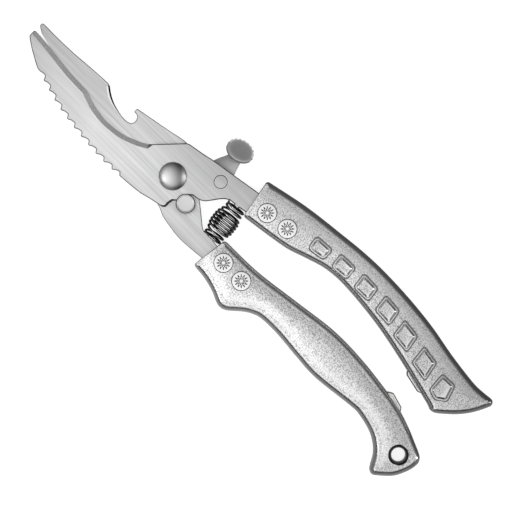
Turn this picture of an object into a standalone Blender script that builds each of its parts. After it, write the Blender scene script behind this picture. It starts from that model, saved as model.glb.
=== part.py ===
"""Poultry shears with cast handles.

Two steel plates cross on one rivet, and each carries a blade in front and a tang behind. A cast
handle is riveted on each tang. A barrel spring between the shanks holds the shears open, a headed
stud stops the opening, two pads stop the closing, and a thumb lever locks the plates.

X runs along the shears towards the blade tips, Y across them towards the serrated back, and Z up
from the surface that they lie on. The origin is on the main rivet's axis, at its flat back.
Lengths are in millimetres and angles in degrees, and every mesh is scaled to metres as it is made.
"""
import math

import bpy
import bmesh
from mathutils import Matrix, Vector
from mathutils.geometry import tessellate_polygon

MM = 0.001
GAP = 0.3                      # air between neighbouring pieces

# Heights above the surface that the shears lie on
HANDLE_FACE = 13.6             # plain front face of a handle
GEM_TOP = 14.0                 # top of the raised grip lozenges
PLATE = 3.0                    # blade and tang thickness
REAR_BOTTOM = 3.65
REAR_TOP = REAR_BOTTOM + PLATE
FRONT_BOTTOM = REAR_TOP + GAP
FRONT_TOP = FRONT_BOTTOM + PLATE
REAR_MID = REAR_BOTTOM + PLATE / 2
FRONT_MID = FRONT_BOTTOM + PLATE / 2

# Main rivet
PIVOT_R = 3.7                  # shank radius
PIVOT_HEAD_R = 6.0
PIVOT_DOME = 2.75              # height of the domed head
PIVOT_BACK_R = 5.6
PIVOT_BACK_T = 2.4
HEAD_BASE = FRONT_TOP + GAP    # underside of the heads above the front plate
WASHER_R = 6.6
WASHER_T = 0.65

# Stop stud, riveted in the rear plate and running in the front plate's arc notch
STUD_RADIUS = 12.88            # its distance from the main rivet's axis
STUD_ANGLE = 160.0
STUD_STEM_R = 2.2
STUD_HEAD_R = 4.15
STUD_HEAD_T = 1.6
STUD_SHANK_R = 1.8
STUD_BACK_R = 3.0
STUD_BACK_T = 0.9
NOTCH_R = 10.4                 # bottom of the arc notch

# Thumb lock
LOCK_AXIS = Vector((-16.1, -12.7))
LOCK_RIVET_R = 1.8
LOCK_HEAD_R = 2.75
LOCK_HEAD_T = 1.0
LOCK_BACK_R = 3.3
WAVE_WASHER_R = 3.9
WAVE_WASHER_T = 0.4
LOCK_TURN = 19.0               # turn from released to locked
LEVER_T = 2.2
LEVER_BOSS_R = 4.4
TOOTH_TIP_R = 12.6             # tooth tip's distance from the main axis when locked
TOOTH_ANGLE = 240.0            # tooth's place about the main axis when locked
TOOTH_HALF = 0.9
TOOTH_DEPTH = 2.5
HUB_R = 12.2                   # rear plate's hidden rim about the main rivet
CATCH_ANGLE = 251.0            # middle of the catch that is set in that rim
CATCH_ROOT_R = 8.8
CATCH_ROOT_HALF = 1.1
CATCH_R = 14.8
CATCH_END_ANGLE = 257.0
CATCH_FACE_R = 10.95           # its bearing face, an arc about the lock rivet
KNOB_CENTRE = Vector((-12.6, -27.9))
KNOB_R = 6.35
KNOB_TILT = 43.0
KNOB_T = 1.7
KNOB_Z = 7.0
TO_SHANK = Vector((-0.165, 0.986, 0))    # from the knob towards the front plate's shank

# Blade edges
EDGE_LAND = 0.35               # flat left at the cutting edge
BEVEL_WIDTH = 1.75             # ground bevel, seen from the front
NOTCH_BEVEL = 0.9              # small bevel in the bone notch
NOTCH_BEVEL_T = 1.1
TOOTH_COUNT = 11
SERRATION_DEPTH = 1.4
SERRATION_SKEW = 0.63          # below 1 leans each serration towards the tip

# Handles and their rivets
HANDLE_ROUND = 2.5             # edge rounding
LOZENGE_SLOPE = 0.4
UPPER_RIVETS = [(-39.5, -17.3), (-50.3, -18.6)]
LOWER_RIVETS = [(-41.3, 10.8), (-52.1, 10.9)]
BARREL_R = 2.5
BARREL_BORE_R = 1.8
PIN_R = 1.5
RIVET_HEAD_R = 4.1
RIVET_HEAD_T = 1.0
HANG_CENTRE = (-151.5, 15.9)
HANG_R = 3.0
HANG_RIM_R = 4.4
HANG_CHAMFER = 2.8
CUTTER_REACH = 1.0             # how far a cutter runs past the face it opens
PAD_BOTTOM = 3.6
PAD_TOP = 10.0

# Opening spring, from the front plate's nub to the rear plate's
SPRING_FROM = Vector((-28.2, -9.2, FRONT_MID))
SPRING_TO = Vector((-30.1, 6.2, REAR_MID))
WIRE_R = 0.48
SPRING_END_R = 3.75            # to the wire's centre
SPRING_BARREL_R = 5.6
SPRING_END_TURNS = 2.5
SPRING_BARREL_TURNS = 7
END_PITCH_RATIO = 1.8          # end coils are this much further apart than the barrel's
FLAT_END_TURNS = 0.9           # turns at each end that keep the small radius

SAME_POINT = 0.05              # points nearer than this are one point

STEEL = (0.62, 0.63, 0.64)
DARK_STEEL = (0.42, 0.43, 0.44)
CAST = (0.56, 0.57, 0.58)
SPRING_BLACK = (0.03, 0.03, 0.032)
PAD_WHITE = (0.82, 0.82, 0.80)


for old in list(bpy.data.objects):
    bpy.data.objects.remove(old, do_unlink=True)


# ---------------------------------------------------------------- plane geometry

def polar(radius, angle):
    """Point at an angle about the main rivet."""
    turn = math.radians(angle)
    return Vector((radius * math.cos(turn), radius * math.sin(turn)))


def turned_about(point, centre, angle):
    """Point turned about another, counter-clockwise."""
    return centre + Matrix.Rotation(math.radians(angle), 2) @ (Vector(point) - centre)


def arc(centre, radius, start, end, steps):
    """Points along an arc, both ends included."""
    angles = [start + (end - start) * i / steps for i in range(steps + 1)]
    return [Vector(centre) + polar(radius, angle) for angle in angles]


def circle(centre, radius, count=32):
    """Closed clockwise ring of points, as a hole's outline."""
    return arc(centre, radius, 360.0, 360.0 / count, count - 1)


def smooth(points, steps=3):
    """Catmull-Rom curve through the points, both ends included."""
    points = [Vector(p) for p in points]
    padded = [2 * points[0] - points[1]] + points + [2 * points[-1] - points[-2]]
    result = [points[0]]
    for a, b, c, d in zip(padded, padded[1:], padded[2:], padded[3:]):
        for step in range(1, steps + 1):
            t = step / steps
            result.append(0.5 * (2 * b + (c - a) * t + (2 * a - 5 * b + 4 * c - d) * t ** 2
                                 + (3 * b - a - 3 * c + d) * t ** 3))
    return result


def join(*runs):
    """One closed outline from runs laid end to end, with a shared end kept once."""
    result = []
    for run in runs:
        for point in run:
            point = Vector(point)
            if not result or (point - result[-1]).length > SAME_POINT:
                result.append(point)
    while (result[0] - result[-1]).length <= SAME_POINT:
        result.pop()
    return result


def normals(run, closed):
    """Unit normals on the left of a run, scaled so that an offset keeps its width at corners."""
    result = []
    for i, point in enumerate(run):
        before = run[i - 1] if closed or i else None
        after = run[(i + 1) % len(run)] if closed or i < len(run) - 1 else None
        sides = []
        for start, end in ((before, point), (point, after)):
            if start is not None and end is not None:
                way = (end - start).normalized()
                sides.append(Vector((-way.y, way.x)))
        mean = sum(sides, Vector((0, 0))).normalized()
        result.append(mean / max(mean.dot(sides[0]), 0.6))
    return result


def offset(run, distance, closed=False):
    """The run moved to its left."""
    return [p + n * distance for p, n in zip(run, normals(run, closed))]


def along(run, count):
    """Points at equal steps of length along a run."""
    lengths = [0.0]
    for a, b in zip(run, run[1:]):
        lengths.append(lengths[-1] + (b - a).length)
    result, k = [], 0
    for i in range(count + 1):
        target = lengths[-1] * i / count
        while k < len(run) - 2 and lengths[k + 1] < target:
            k += 1
        share = (target - lengths[k]) / (lengths[k + 1] - lengths[k])
        result.append(run[k].lerp(run[k + 1], min(share, 1.0)))
    return result


# ---------------------------------------------------------------- solids

def material(name, colour, roughness, metallic):
    """A plain Principled material."""
    result = bpy.data.materials.new(name)
    result.use_nodes = True
    shader = result.node_tree.nodes["Principled BSDF"]
    shader.inputs["Base Color"].default_value = (*colour, 1.0)
    shader.inputs["Roughness"].default_value = roughness
    shader.inputs["Metallic"].default_value = metallic
    return result


def solid(name, points, faces, finish=None):
    """An object from points in millimetres, with its faces turned outwards."""
    mesh = bpy.data.meshes.new(name)
    mesh.from_pydata([Vector(p) * MM for p in points], [], faces)
    bm = bmesh.new()
    bm.from_mesh(mesh)
    bmesh.ops.recalc_face_normals(bm, faces=bm.faces)
    bm.to_mesh(mesh)
    bm.free()
    result = bpy.data.objects.new(name, mesh)
    bpy.context.scene.collection.objects.link(result)
    if finish:
        mesh.materials.append(material(name, *finish))
        mesh.shade_smooth()
        mesh.set_sharp_from_angle(angle=math.radians(35))
    return result


def plate(name, layers, holes=(), finish=None):
    """A solid through outlines of equal count at rising heights, with holes right through."""
    points, faces = [], []
    loops = [layers[0][1], *holes]
    size = sum(len(loop) for loop in loops)
    for height, outline in layers:
        for loop in (outline, *holes):
            points.extend((p[0], p[1], height) for p in loop)
    for level, reverse in ((0, True), (len(layers) - 1, False)):
        flat = [[Vector((p[0], p[1], 0)) for p in loop] for loop in (layers[level][1], *holes)]
        for triangle in tessellate_polygon(flat):
            face = [level * size + i for i in triangle]
            a, b, c = (Vector(points[i]) for i in face)
            if ((b - a).cross(c - a).z < 0) != reverse:
                face.reverse()
            faces.append(face)
    for level in range(len(layers) - 1):
        first = level * size
        for loop in loops:
            count = len(loop)
            for i in range(count):
                j = (i + 1) % count
                faces.append((first + i, first + j, first + size + j, first + size + i))
            first += count
    return solid(name, points, faces, finish)


def turned(name, profile, centre=(0, 0), count=32, finish=None, hollow=False):
    """A turned solid from (radius, height) points; a hollow one's profile closes on itself."""
    points, faces, rows = [], [], []
    for radius, height in profile:
        if radius == 0:
            rows.append([len(points)])
            points.append((centre[0], centre[1], height))
        else:
            rows.append(list(range(len(points), len(points) + count)))
            points.extend((p.x, p.y, height) for p in circle(centre, radius, count))
    pairs = list(zip(rows, rows[1:]))
    if hollow:
        pairs.append((rows[-1], rows[0]))
    for low, high in pairs:
        for i in range(count):
            j = (i + 1) % count
            corners = [low[i % len(low)], low[j % len(low)], high[j % len(high)], high[i % len(high)]]
            faces.append(list(dict.fromkeys(corners)))
    return solid(name, points, faces, finish)


def ring(name, centre, inner, outer, base, thickness, count):
    """A flat washer."""
    top = base + thickness
    profile = [(inner, base), (outer, base), (outer, top), (inner, top)]
    turned(name, profile, centre, count, (DARK_STEEL, 0.35, 1.0), hollow=True)


def joined(name, *pieces):
    """One object from several that don't touch each other."""
    bm = bmesh.new()
    for piece in pieces:
        bm.from_mesh(piece.data)
        bpy.data.objects.remove(piece, do_unlink=True)
    mesh = bpy.data.meshes.new(name)
    bm.to_mesh(mesh)
    bm.free()
    result = bpy.data.objects.new(name, mesh)
    bpy.context.scene.collection.objects.link(result)
    return result


def combine(target, tool, operation):
    """Cut a tool from a piece, or union it on, and hide the tool."""
    tool.hide_render = True
    tool.display_type = "WIRE"
    modifier = target.modifiers.new(tool.name, "BOOLEAN")
    modifier.operation = operation
    modifier.solver = "EXACT"
    modifier.object = tool


# ---------------------------------------------------------------- blades

def serration():
    """Leaning rounded teeth along the front blade's back, from near its tip to the pivot."""
    parts = 20
    base = along(smooth([(68.8, 8.2), (55.6, 11.9), (41.6, 14.0), (27.5, 15.0), (17.4, 14.7)], 12),
                 TOOTH_COUNT * parts)
    outward = [-n for n in normals(base, False)]
    result = []
    for tooth in range(TOOTH_COUNT):
        for step in (0, 2, 4, 7, 11, 16):
            lift = SERRATION_DEPTH * math.sin(math.pi * (step / parts) ** SERRATION_SKEW) ** 2
            k = tooth * parts + step
            result.append(base[k] + outward[k] * lift)
    return result + [base[-1]]


def front_blade():
    hump = smooth([(17.0, -2.4), (20.0, -0.6), (23.8, 1.0), (27.8, 2.4), (32.4, 3.1), (37.5, 3.4),
                   (43.7, 2.6), (49.0, 1.0), (51.5, 0.1)], 2)
    point = smooth([(51.5, 0.1), (62.0, -0.3), (71.7, -1.4), (80.9, -2.3), (85.3, -2.5)], 2)
    edge = hump + point[1:]
    tip = smooth([(85.3, -2.5), (85.5, -1.0), (85.4, 0.3), (84.8, 1.3), (82.1, 3.2), (78.1, 5.6),
                  (73.6, 8.0), (71.8, 8.4), (69.5, 8.0), (68.8, 8.2)], 2)
    belly = smooth([(16.2, 15.9), (9.5, 15.4), (4.6, 14.8), (0.3, 13.7), (-4.1, 12.8), (-6.0, 12.3),
                    (-7.0, 11.2), (-7.0, 9.6)], 2)
    stop_notch = arc((0, 0), NOTCH_R, 134.0, 175.5, 6)
    throat = smooth([(-11.7, -0.3), (-15.1, -0.9), (-17.7, -2.7), (-21.6, -7.9), (-24.2, -9.9)], 3)
    spring_nub = [(-26.6, -10.0), (-26.2, -7.7), (-29.0, -7.3), (-29.5, -10.4)]
    top_edge = smooth([(-30.2, -20.7), (-17.9, -18.7), (-7.4, -17.0), (-3.3, -16.1), (4.6, -14.7)], 2)
    shoulder = [(5.6, -14.2), (15.6, -3.7)]
    rest = join(tip, serration(), belly, stop_notch, throat, spring_nub, UPPER_TANG, top_edge, shoulder)
    rest = [p for p in rest if (p - edge[-1]).length > SAME_POINT]
    at_edge = edge + rest
    at_face = offset(edge, BEVEL_WIDTH) + rest
    holes = [circle((0, 0), PIVOT_R + GAP, 40), circle(LOCK_AXIS, LOCK_RIVET_R + GAP, 24)]
    holes += [circle(centre, BARREL_R + GAP, 28) for centre in UPPER_RIVETS]
    layers = [(FRONT_BOTTOM, at_edge), (FRONT_BOTTOM + EDGE_LAND, at_edge), (FRONT_TOP, at_face)]
    result = plate("front_blade", layers, holes, (STEEL, 0.3, 1.0))
    seat_r = LOCK_HEAD_R + GAP
    low, high = FRONT_TOP - LOCK_HEAD_T - GAP, FRONT_TOP + CUTTER_REACH
    seat = turned("lock_head_seat", [(0, high), (seat_r, high), (seat_r, low), (0, low)], LOCK_AXIS, 24)
    combine(result, seat, "DIFFERENCE")


def catch_root(inner, outer, half):
    """Straight-sided root of the catch: four corners, from one side of its mouth to the other."""
    out = polar(1.0, CATCH_ANGLE)
    side = Vector((-out.y, out.x)) * half
    return [out * outer - side, out * inner - side, out * inner + side, out * outer + side]


def rear_blade():
    edge = smooth([(80.6, -3.0), (70.0, -0.3), (55.0, 2.7), (40.0, 5.7), (25.0, 8.6), (15.0, 10.6)], 3)
    hub = smooth([(15.0, 10.6), (8.0, 12.0), (0.0, 12.7), (-4.6, 13.2), (-8.8, 15.0), (-15.0, 16.2),
                  (-20.6, 16.8), (-26.6, 16.5), (-32.7, 15.9)], 2)
    spring_nub = [(-31.6, 7.4), (-31.8, 5.1), (-28.9, 4.8), (-28.6, 7.1)]
    throat = smooth([(-27.1, 7.1), (-24.7, 6.7), (-19.2, 2.3), (-15.1, -0.9), (-12.8, -2.4)], 2)
    half = CATCH_ROOT_HALF + GAP
    mouth_r = math.sqrt(HUB_R ** 2 - half ** 2)
    slot_turn = math.degrees(math.asin(half / HUB_R))
    rim = arc((0, 0), HUB_R, 194.0, CATCH_ANGLE - slot_turn - 4, 9)
    slot = catch_root(CATCH_ROOT_R - GAP, mouth_r, half)
    beyond = arc((0, 0), HUB_R, CATCH_ANGLE + slot_turn + 4, 272.0, 3)
    shoulder = smooth([(2.4, -12.9), (6.4, -14.3), (15.8, -12.5), (31.1, -9.7)], 2)
    hook = smooth([(31.1, -9.7), (31.2, -8.0), (30.1, -7.7), (28.7, -7.2), (27.9, -5.2), (28.6, -3.4),
                   (30.6, -2.6)], 2)
    bone_notch = smooth([(33.6, -2.7), (36.0, -3.2), (39.0, -4.0), (41.6, -5.1), (44.0, -6.5),
                         (46.3, -8.2)], 2)
    back = smooth([(47.6, -8.6), (56.9, -8.1), (66.8, -7.3), (77.3, -7.0), (84.2, -7.1), (85.4, -6.6),
                   (85.3, -5.3), (82.8, -3.7)], 2)
    lead = join(hub, LOWER_TANG, spring_nub, throat, rim, slot, beyond, shoulder, hook)[1:]
    stud = polar(STUD_RADIUS, STUD_ANGLE)
    holes = [circle((0, 0), PIVOT_R + GAP, 40), circle(stud, STUD_SHANK_R + GAP, 24)]
    holes += [circle(centre, BARREL_R + GAP, 28) for centre in LOWER_RIVETS]
    at_back = offset(edge, BEVEL_WIDTH) + lead + bone_notch + back
    at_edge = edge + lead + bone_notch + back
    at_front = edge + lead + offset(bone_notch, NOTCH_BEVEL) + back
    layers = [(REAR_BOTTOM, at_back), (REAR_TOP - NOTCH_BEVEL_T, at_edge), (REAR_TOP, at_front)]
    plate("rear_blade", layers, holes, (STEEL, 0.32, 1.0))


# ---------------------------------------------------------------- pivot, stud and lock

def pivot():
    """Domed rivet with a flat rear head, and the washer under that head."""
    rim = HEAD_BASE + 0.5
    back = PIVOT_BACK_R
    dome = [(PIVOT_HEAD_R * math.cos(a), rim + (PIVOT_DOME - 0.5) * math.sin(a))
            for a in map(math.radians, (0, 20, 40, 60, 78))]
    rear_head = [(0, 0), (back - 0.5, 0), (back, 0.5), (back, PIVOT_BACK_T), (PIVOT_R, PIVOT_BACK_T)]
    front_head = [(PIVOT_R, HEAD_BASE), (PIVOT_HEAD_R, HEAD_BASE), *dome, (0, HEAD_BASE + PIVOT_DOME)]
    turned("pivot_rivet", rear_head + front_head, count=40, finish=(STEEL, 0.14, 1.0))
    ring("pivot_washer", (0, 0), PIVOT_R + GAP, WASHER_R, PIVOT_BACK_T + GAP, WASHER_T, 36)


def stop_stud():
    """Stud with a wide head over the front plate and a thinner stem in its arc notch."""
    back = REAR_BOTTOM - GAP
    low = back - STUD_BACK_T
    step = REAR_TOP + 0.1
    top = HEAD_BASE + STUD_HEAD_T
    profile = [(0, low), (STUD_BACK_R - 0.4, low), (STUD_BACK_R, low + 0.4), (STUD_BACK_R, back),
               (STUD_SHANK_R, back), (STUD_SHANK_R, step), (STUD_STEM_R, step), (STUD_STEM_R, HEAD_BASE),
               (STUD_HEAD_R, HEAD_BASE), (STUD_HEAD_R, top - 0.4), (STUD_HEAD_R - 0.5, top - 0.1), (0, top)]
    turned("stop_stud", profile, polar(STUD_RADIUS, STUD_ANGLE), 32, (STEEL, 0.22, 1.0))


def catch_face(radius):
    """Point where the catch's bearing face, an arc about the lock rivet, crosses a radius."""
    reach = LOCK_AXIS.length
    cosine = (radius ** 2 + reach ** 2 - CATCH_FACE_R ** 2) / (2 * radius * reach)
    return polar(radius, math.degrees(math.atan2(LOCK_AXIS.y, LOCK_AXIS.x) + math.acos(cosine)))


def lock_catch():
    """Hard key in the rear plate's rim. Its head is what the locked lever's tooth stands in front of."""
    under = HUB_R + GAP
    neck = catch_root(CATCH_ROOT_R, under, CATCH_ROOT_HALF)
    top = arc((0, 0), CATCH_R, CATCH_ANGLE, CATCH_END_ANGLE, 2)
    face = [catch_face(radius) for radius in (CATCH_R, (CATCH_R + under) / 2, under)]
    outline = neck + [polar(under, CATCH_END_ANGLE)] + top[::-1] + face
    plate("lock_catch", [(REAR_BOTTOM, outline), (REAR_TOP, outline)], finish=(DARK_STEEL, 0.3, 1.0))


def lock_lever():
    """Thumb lever, drawn released: a hooked arm, a waisted stem and a tilted round knob."""
    tip = polar(TOOTH_TIP_R, TOOTH_ANGLE)
    out = polar(1.0, TOOTH_ANGLE)
    side = Vector((-out.y, out.x)) * TOOTH_HALF
    root = tip + out * TOOTH_DEPTH
    locked = [tip + side, tip - side, root - side, LOCK_AXIS + Vector((1.9, 3.95))]
    hook = [turned_about(p, LOCK_AXIS, -LOCK_TURN) for p in locked]
    boss = arc(LOCK_AXIS, LEVER_BOSS_R, 80, 220, 8)
    flare = smooth([(-18.3, -18.3), (-17.3, -20.9), (-16.7, -23.6), (-16.3, -26.6)], 3)
    cap = arc((-13.4, -28.2), 2.6, 200, 380, 6)
    waist = smooth([(-10.6, -26.6), (-9.8, -22.6), (-8.4, -19.6), (-7.3, -16.7)], 3)
    outline = join(hook, boss, flare, cap, waist)
    hole = circle(LOCK_AXIS, LOCK_RIVET_R + GAP, 24)
    layers = [(REAR_TOP - LEVER_T, outline), (REAR_TOP, outline)]
    result = plate("lock_lever", layers, [hole], (STEEL, 0.3, 1.0))
    half = KNOB_T / 2
    profile = [(0, -half), (KNOB_R - 0.6, -half), (KNOB_R, -half + 0.5), (KNOB_R, half - 0.4),
               (KNOB_R - 0.5, half), (KNOB_R - 1.6, half), (0, half - 0.5)]
    knob = turned("lever_knob", profile, count=28)
    tilt = Matrix.Rotation(math.radians(KNOB_TILT), 4, TO_SHANK.cross(Vector((0, 0, 1))))
    knob.matrix_world = Matrix.Translation(Vector((*KNOB_CENTRE, KNOB_Z)) * MM) @ tilt
    combine(result, knob, "UNION")


def lock_rivet():
    """Flush rivet that the lever turns on, and the wave washer between them."""
    back = REAR_TOP - LEVER_T - WAVE_WASHER_T - 2 * GAP
    low = back - 1.0
    neck = FRONT_TOP - LOCK_HEAD_T
    profile = [(0, low), (LOCK_BACK_R - 0.4, low), (LOCK_BACK_R, low + 0.4), (LOCK_BACK_R, back),
               (LOCK_RIVET_R, back), (LOCK_RIVET_R, neck), (LOCK_HEAD_R, neck),
               (LOCK_HEAD_R, FRONT_TOP - 0.1), (LOCK_HEAD_R - 0.3, FRONT_TOP), (0, FRONT_TOP)]
    turned("lock_rivet", profile, LOCK_AXIS, 24, (STEEL, 0.24, 1.0))
    ring("lock_spring_washer", LOCK_AXIS, LOCK_RIVET_R + GAP, WAVE_WASHER_R, back + GAP, WAVE_WASHER_T, 24)


def opening_spring():
    """Barrel spring: open small coils at both ends and close wide coils between them."""
    steps, sides = 12, 5
    turns = 2 * SPRING_END_TURNS + SPRING_BARREL_TURNS
    axis = SPRING_TO - SPRING_FROM
    length = axis.length
    axis.normalize()
    across = axis.cross(Vector((0, 0, 1))).normalized()
    upward = across.cross(axis)
    pitch = length / (2 * SPRING_END_TURNS * END_PITCH_RATIO + SPRING_BARREL_TURNS)

    def centre(turn):
        near = min(turn, turns - turn)
        share = min(max((near - FLAT_END_TURNS) / SPRING_END_TURNS, 0.0), 1.0)
        swell = share * share * (3 - 2 * share)
        radius = SPRING_END_R + (SPRING_BARREL_R - SPRING_END_R) * swell
        height = pitch * (END_PITCH_RATIO * min(near, SPRING_END_TURNS) + max(near - SPRING_END_TURNS, 0))
        if turn > turns / 2:
            height = length - height
        angle = 2 * math.pi * turn
        return SPRING_FROM + axis * height + (across * math.cos(angle) + upward * math.sin(angle)) * radius

    points, faces = [], []
    count = int(turns * steps) + 1
    for i in range(count):
        here = centre(i / steps)
        ahead = (centre((i + 0.5) / steps) - centre((i - 0.5) / steps)).normalized()
        level = ahead.cross(axis).normalized()
        lift = level.cross(ahead)
        for side in range(sides):
            angle = 2 * math.pi * side / sides
            points.append(here + (level * math.cos(angle) + lift * math.sin(angle)) * WIRE_R)
    for i in range(count - 1):
        near, far = i * sides, (i + 1) * sides
        for side in range(sides):
            after = (side + 1) % sides
            faces.append((near + side, near + after, far + after, far + side))
    faces.append(tuple(range(sides)))
    faces.append(tuple(range((count - 1) * sides, count * sides)))
    solid("opening_spring", points, faces, (SPRING_BLACK, 0.3, 0.8))


# ---------------------------------------------------------------- handles

def rounded_slab(name, outline, finish):
    """A slab of handle thickness with its front and back edges rounded."""
    layers = []
    for turn in (90, 60, 30, 0):
        inset = HANDLE_ROUND * (1 - math.cos(math.radians(turn)))
        height = HANDLE_ROUND * (1 - math.sin(math.radians(turn)))
        layers.append((height, offset(outline, inset, closed=True)))
    layers += [(HANDLE_FACE - height, loop) for height, loop in reversed(layers)]
    ordered = sorted(layers, key=lambda layer: layer[0])
    return plate(name, ordered, finish=finish)


def pocket(name, outline, low, high):
    """Cutter for the space round a piece that is let into a handle."""
    wide = offset(outline, -GAP, closed=True)
    return plate(name, [(low - GAP, wide), (high + GAP, wide)])


def rivet_bore(centre):
    """Cutter for one handle rivet: a bore with a head seat at each end."""
    seat, bore = RIVET_HEAD_R + GAP, BARREL_R + GAP
    low = RIVET_HEAD_T + GAP
    high = HANDLE_FACE - low
    past = HANDLE_FACE + CUTTER_REACH
    profile = [(0, -CUTTER_REACH), (seat, -CUTTER_REACH), (seat, low), (bore, low),
               (bore, high), (seat, high), (seat, past), (0, past)]
    return turned("rivet_bore", profile, centre, 28)


def hang_bore():
    """Cutter for the hanging hole, widened to a cone at both faces."""
    wide = HANG_RIM_R + 0.5
    past = HANDLE_FACE + CUTTER_REACH
    profile = [(0, -CUTTER_REACH), (wide, -CUTTER_REACH), (HANG_RIM_R, 0), (HANG_R, HANG_CHAMFER),
               (HANG_R, HANDLE_FACE - HANG_CHAMFER), (HANG_RIM_R, HANDLE_FACE), (wide, past), (0, past)]
    return turned("hang_bore", profile, HANG_CENTRE, 32)


def stop_pad(name, outline):
    """A pad let into a handle's inner edge, and the cutter for its pocket."""
    outline = [Vector(p) for p in outline]
    plate(name, [(PAD_BOTTOM, outline), (PAD_TOP, outline)], finish=(PAD_WHITE, 0.5, 0.0))
    return pocket(name + "_pocket", outline, PAD_BOTTOM, PAD_TOP)


def lozenge(centre, direction, length, width):
    """A raised grip lozenge: an oblong with cut corners and sloped sides."""
    ahead = direction.normalized()
    side = Vector((-ahead.y, ahead.x))
    corner = 0.32 * width
    loops = []
    for shrink in (0.0, LOZENGE_SLOPE):
        a, b = length / 2 - shrink, width / 2 - shrink
        shape = [(a, -b + corner), (a, b - corner), (a - corner, b), (-a + corner, b),
                 (-a, b - corner), (-a, -b + corner), (-a + corner, -b), (a - corner, -b)]
        loops.append([Vector(centre) + ahead * u + side * v for u, v in shape])
    sunk, shoulder = HANDLE_FACE - 0.8, GEM_TOP - 0.3
    return plate("lozenge", [(sunk, loops[0]), (shoulder, loops[0]), (GEM_TOP, loops[1])])


def handle_rivets(prefix, centres):
    """Rivet pairs: a headed pin from the front in a headed tube from the back."""
    top = HANDLE_FACE + 0.1
    under = HANDLE_FACE - RIVET_HEAD_T
    mouth = under - 0.5
    pin_end, bore_end = 3.0, 2.2
    head = RIVET_HEAD_R
    pin = [(0, pin_end), (PIN_R - 0.3, pin_end), (PIN_R, pin_end + 0.3), (PIN_R, under), (head, under),
           (head, top - 0.25), (head - 0.3, top), (0, top)]
    tube = [(0, 0), (head - 0.3, 0), (head, 0.25), (head, RIVET_HEAD_T), (BARREL_R, RIVET_HEAD_T),
            (BARREL_R, mouth), (BARREL_BORE_R, mouth), (BARREL_BORE_R, bore_end), (0, bore_end)]
    for place, centre in zip(("front", "rear"), centres):
        turned(f"{prefix}_{place}_rivet_pin", pin, centre, 24, (STEEL, 0.25, 1.0))
        turned(f"{prefix}_{place}_rivet_tube", tube, centre, 24, (STEEL, 0.25, 1.0))


def upper_handle():
    outer = smooth([(-162.6, -28.7), (-152.0, -28.3), (-137.9, -30.1), (-122.9, -32.8), (-107.5, -34.4),
                    (-92.0, -35.0), (-80.9, -34.6), (-70.4, -33.6), (-49.8, -31.1), (-29.8, -27.0)], 2)
    inner = smooth([(-33.2, -9.1), (-47.4, -10.6), (-58.0, -13.1), (-65.1, -15.9), (-74.2, -18.3),
                    (-85.5, -18.8), (-105.1, -16.9), (-124.1, -13.2), (-144.3, -8.3), (-147.7, -7.1),
                    (-149.8, -7.5), (-152.3, -9.5), (-157.1, -14.0), (-161.1, -19.2), (-164.7, -26.4)], 2)
    result = rounded_slab("upper_handle", join(outer, inner), (CAST, 0.38, 1.0))
    mouth = [(-30.2, -20.7), (-25.0, -19.9), (-25.0, -10.0)]
    socket = pocket("upper_socket", join(UPPER_TANG, mouth), FRONT_BOTTOM, FRONT_TOP)
    combine(result, socket, "DIFFERENCE")
    pad = stop_pad("upper_stop_pad", [(-129.1, -11.7), (-130.2, -10.5), (-138.5, -8.7), (-140.1, -9.6),
                                      (-140.5, -12.0), (-129.6, -14.4)])
    combine(result, joined("upper_bores", pad, *map(rivet_bore, UPPER_RIVETS)), "DIFFERENCE")
    spine = [Vector(p) for p in ((-66.0, -22.5), (-78.6, -24.0), (-91.5, -24.5), (-104.8, -24.0),
                                 (-117.7, -21.9), (-131.4, -19.1), (-144.5, -17.0))]
    last = len(spine) - 1
    lozenges = []
    for i, centre in enumerate(spine):
        ahead = spine[min(i + 1, last)] - spine[max(i - 1, 0)]
        lozenges.append(lozenge(centre, ahead, 9.0 + 0.35 * i, 7.0 + 0.55 * i))
    combine(result, joined("grip_lozenges", *lozenges), "UNION")
    handle_rivets("upper", UPPER_RIVETS)


def lower_handle():
    inner = smooth([(-157.0, 9.2), (-147.3, 5.0), (-139.3, 2.3), (-129.1, 0.3), (-112.2, -1.7),
                    (-94.9, -2.0), (-74.5, 0.6), (-54.1, 3.2), (-34.9, 3.6)], 2)
    outer = smooth([(-32.8, 20.4), (-39.9, 21.1), (-46.5, 22.8), (-52.9, 25.3), (-56.4, 24.2),
                    (-61.4, 19.9), (-65.0, 17.6), (-69.3, 16.2), (-78.4, 16.0), (-91.2, 17.1),
                    (-103.3, 17.7), (-122.2, 15.6), (-128.1, 15.7), (-136.8, 18.0), (-143.0, 22.3),
                    (-147.0, 28.6)], 2)
    butt = smooth([(-149.5, 29.8), (-156.4, 23.6), (-159.8, 16.4), (-160.1, 12.4)], 2)
    result = rounded_slab("lower_handle", join(inner, outer, butt), (CAST, 0.38, 1.0))
    mouth = [(-25.0, 7.9), (-25.0, 16.4)]
    socket = pocket("lower_socket", join(LOWER_TANG, mouth), REAR_BOTTOM, REAR_TOP)
    combine(result, socket, "DIFFERENCE")
    pad = stop_pad("lower_stop_pad", [(-139.2, 2.0), (-138.2, 0.65), (-131.6, -1.2), (-129.4, 0.1),
                                      (-128.8, 3.2), (-138.4, 5.2)])
    combine(result, joined("lower_bores", pad, hang_bore(), *map(rivet_bore, LOWER_RIVETS)), "DIFFERENCE")
    handle_rivets("lower", LOWER_RIVETS)


UPPER_TANG = smooth([(-32.0, -11.0), (-39.5, -11.9), (-50.3, -13.2), (-57.5, -14.8), (-60.4, -19.6),
                     (-57.5, -24.2), (-50.3, -24.0), (-39.5, -22.4), (-30.2, -20.7)], 2)
LOWER_TANG = smooth([(-32.7, 15.9), (-44.0, 15.7), (-56.0, 15.4), (-60.6, 11.2), (-56.0, 6.8),
                     (-44.0, 6.6), (-34.3, 7.6)], 2)

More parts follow.
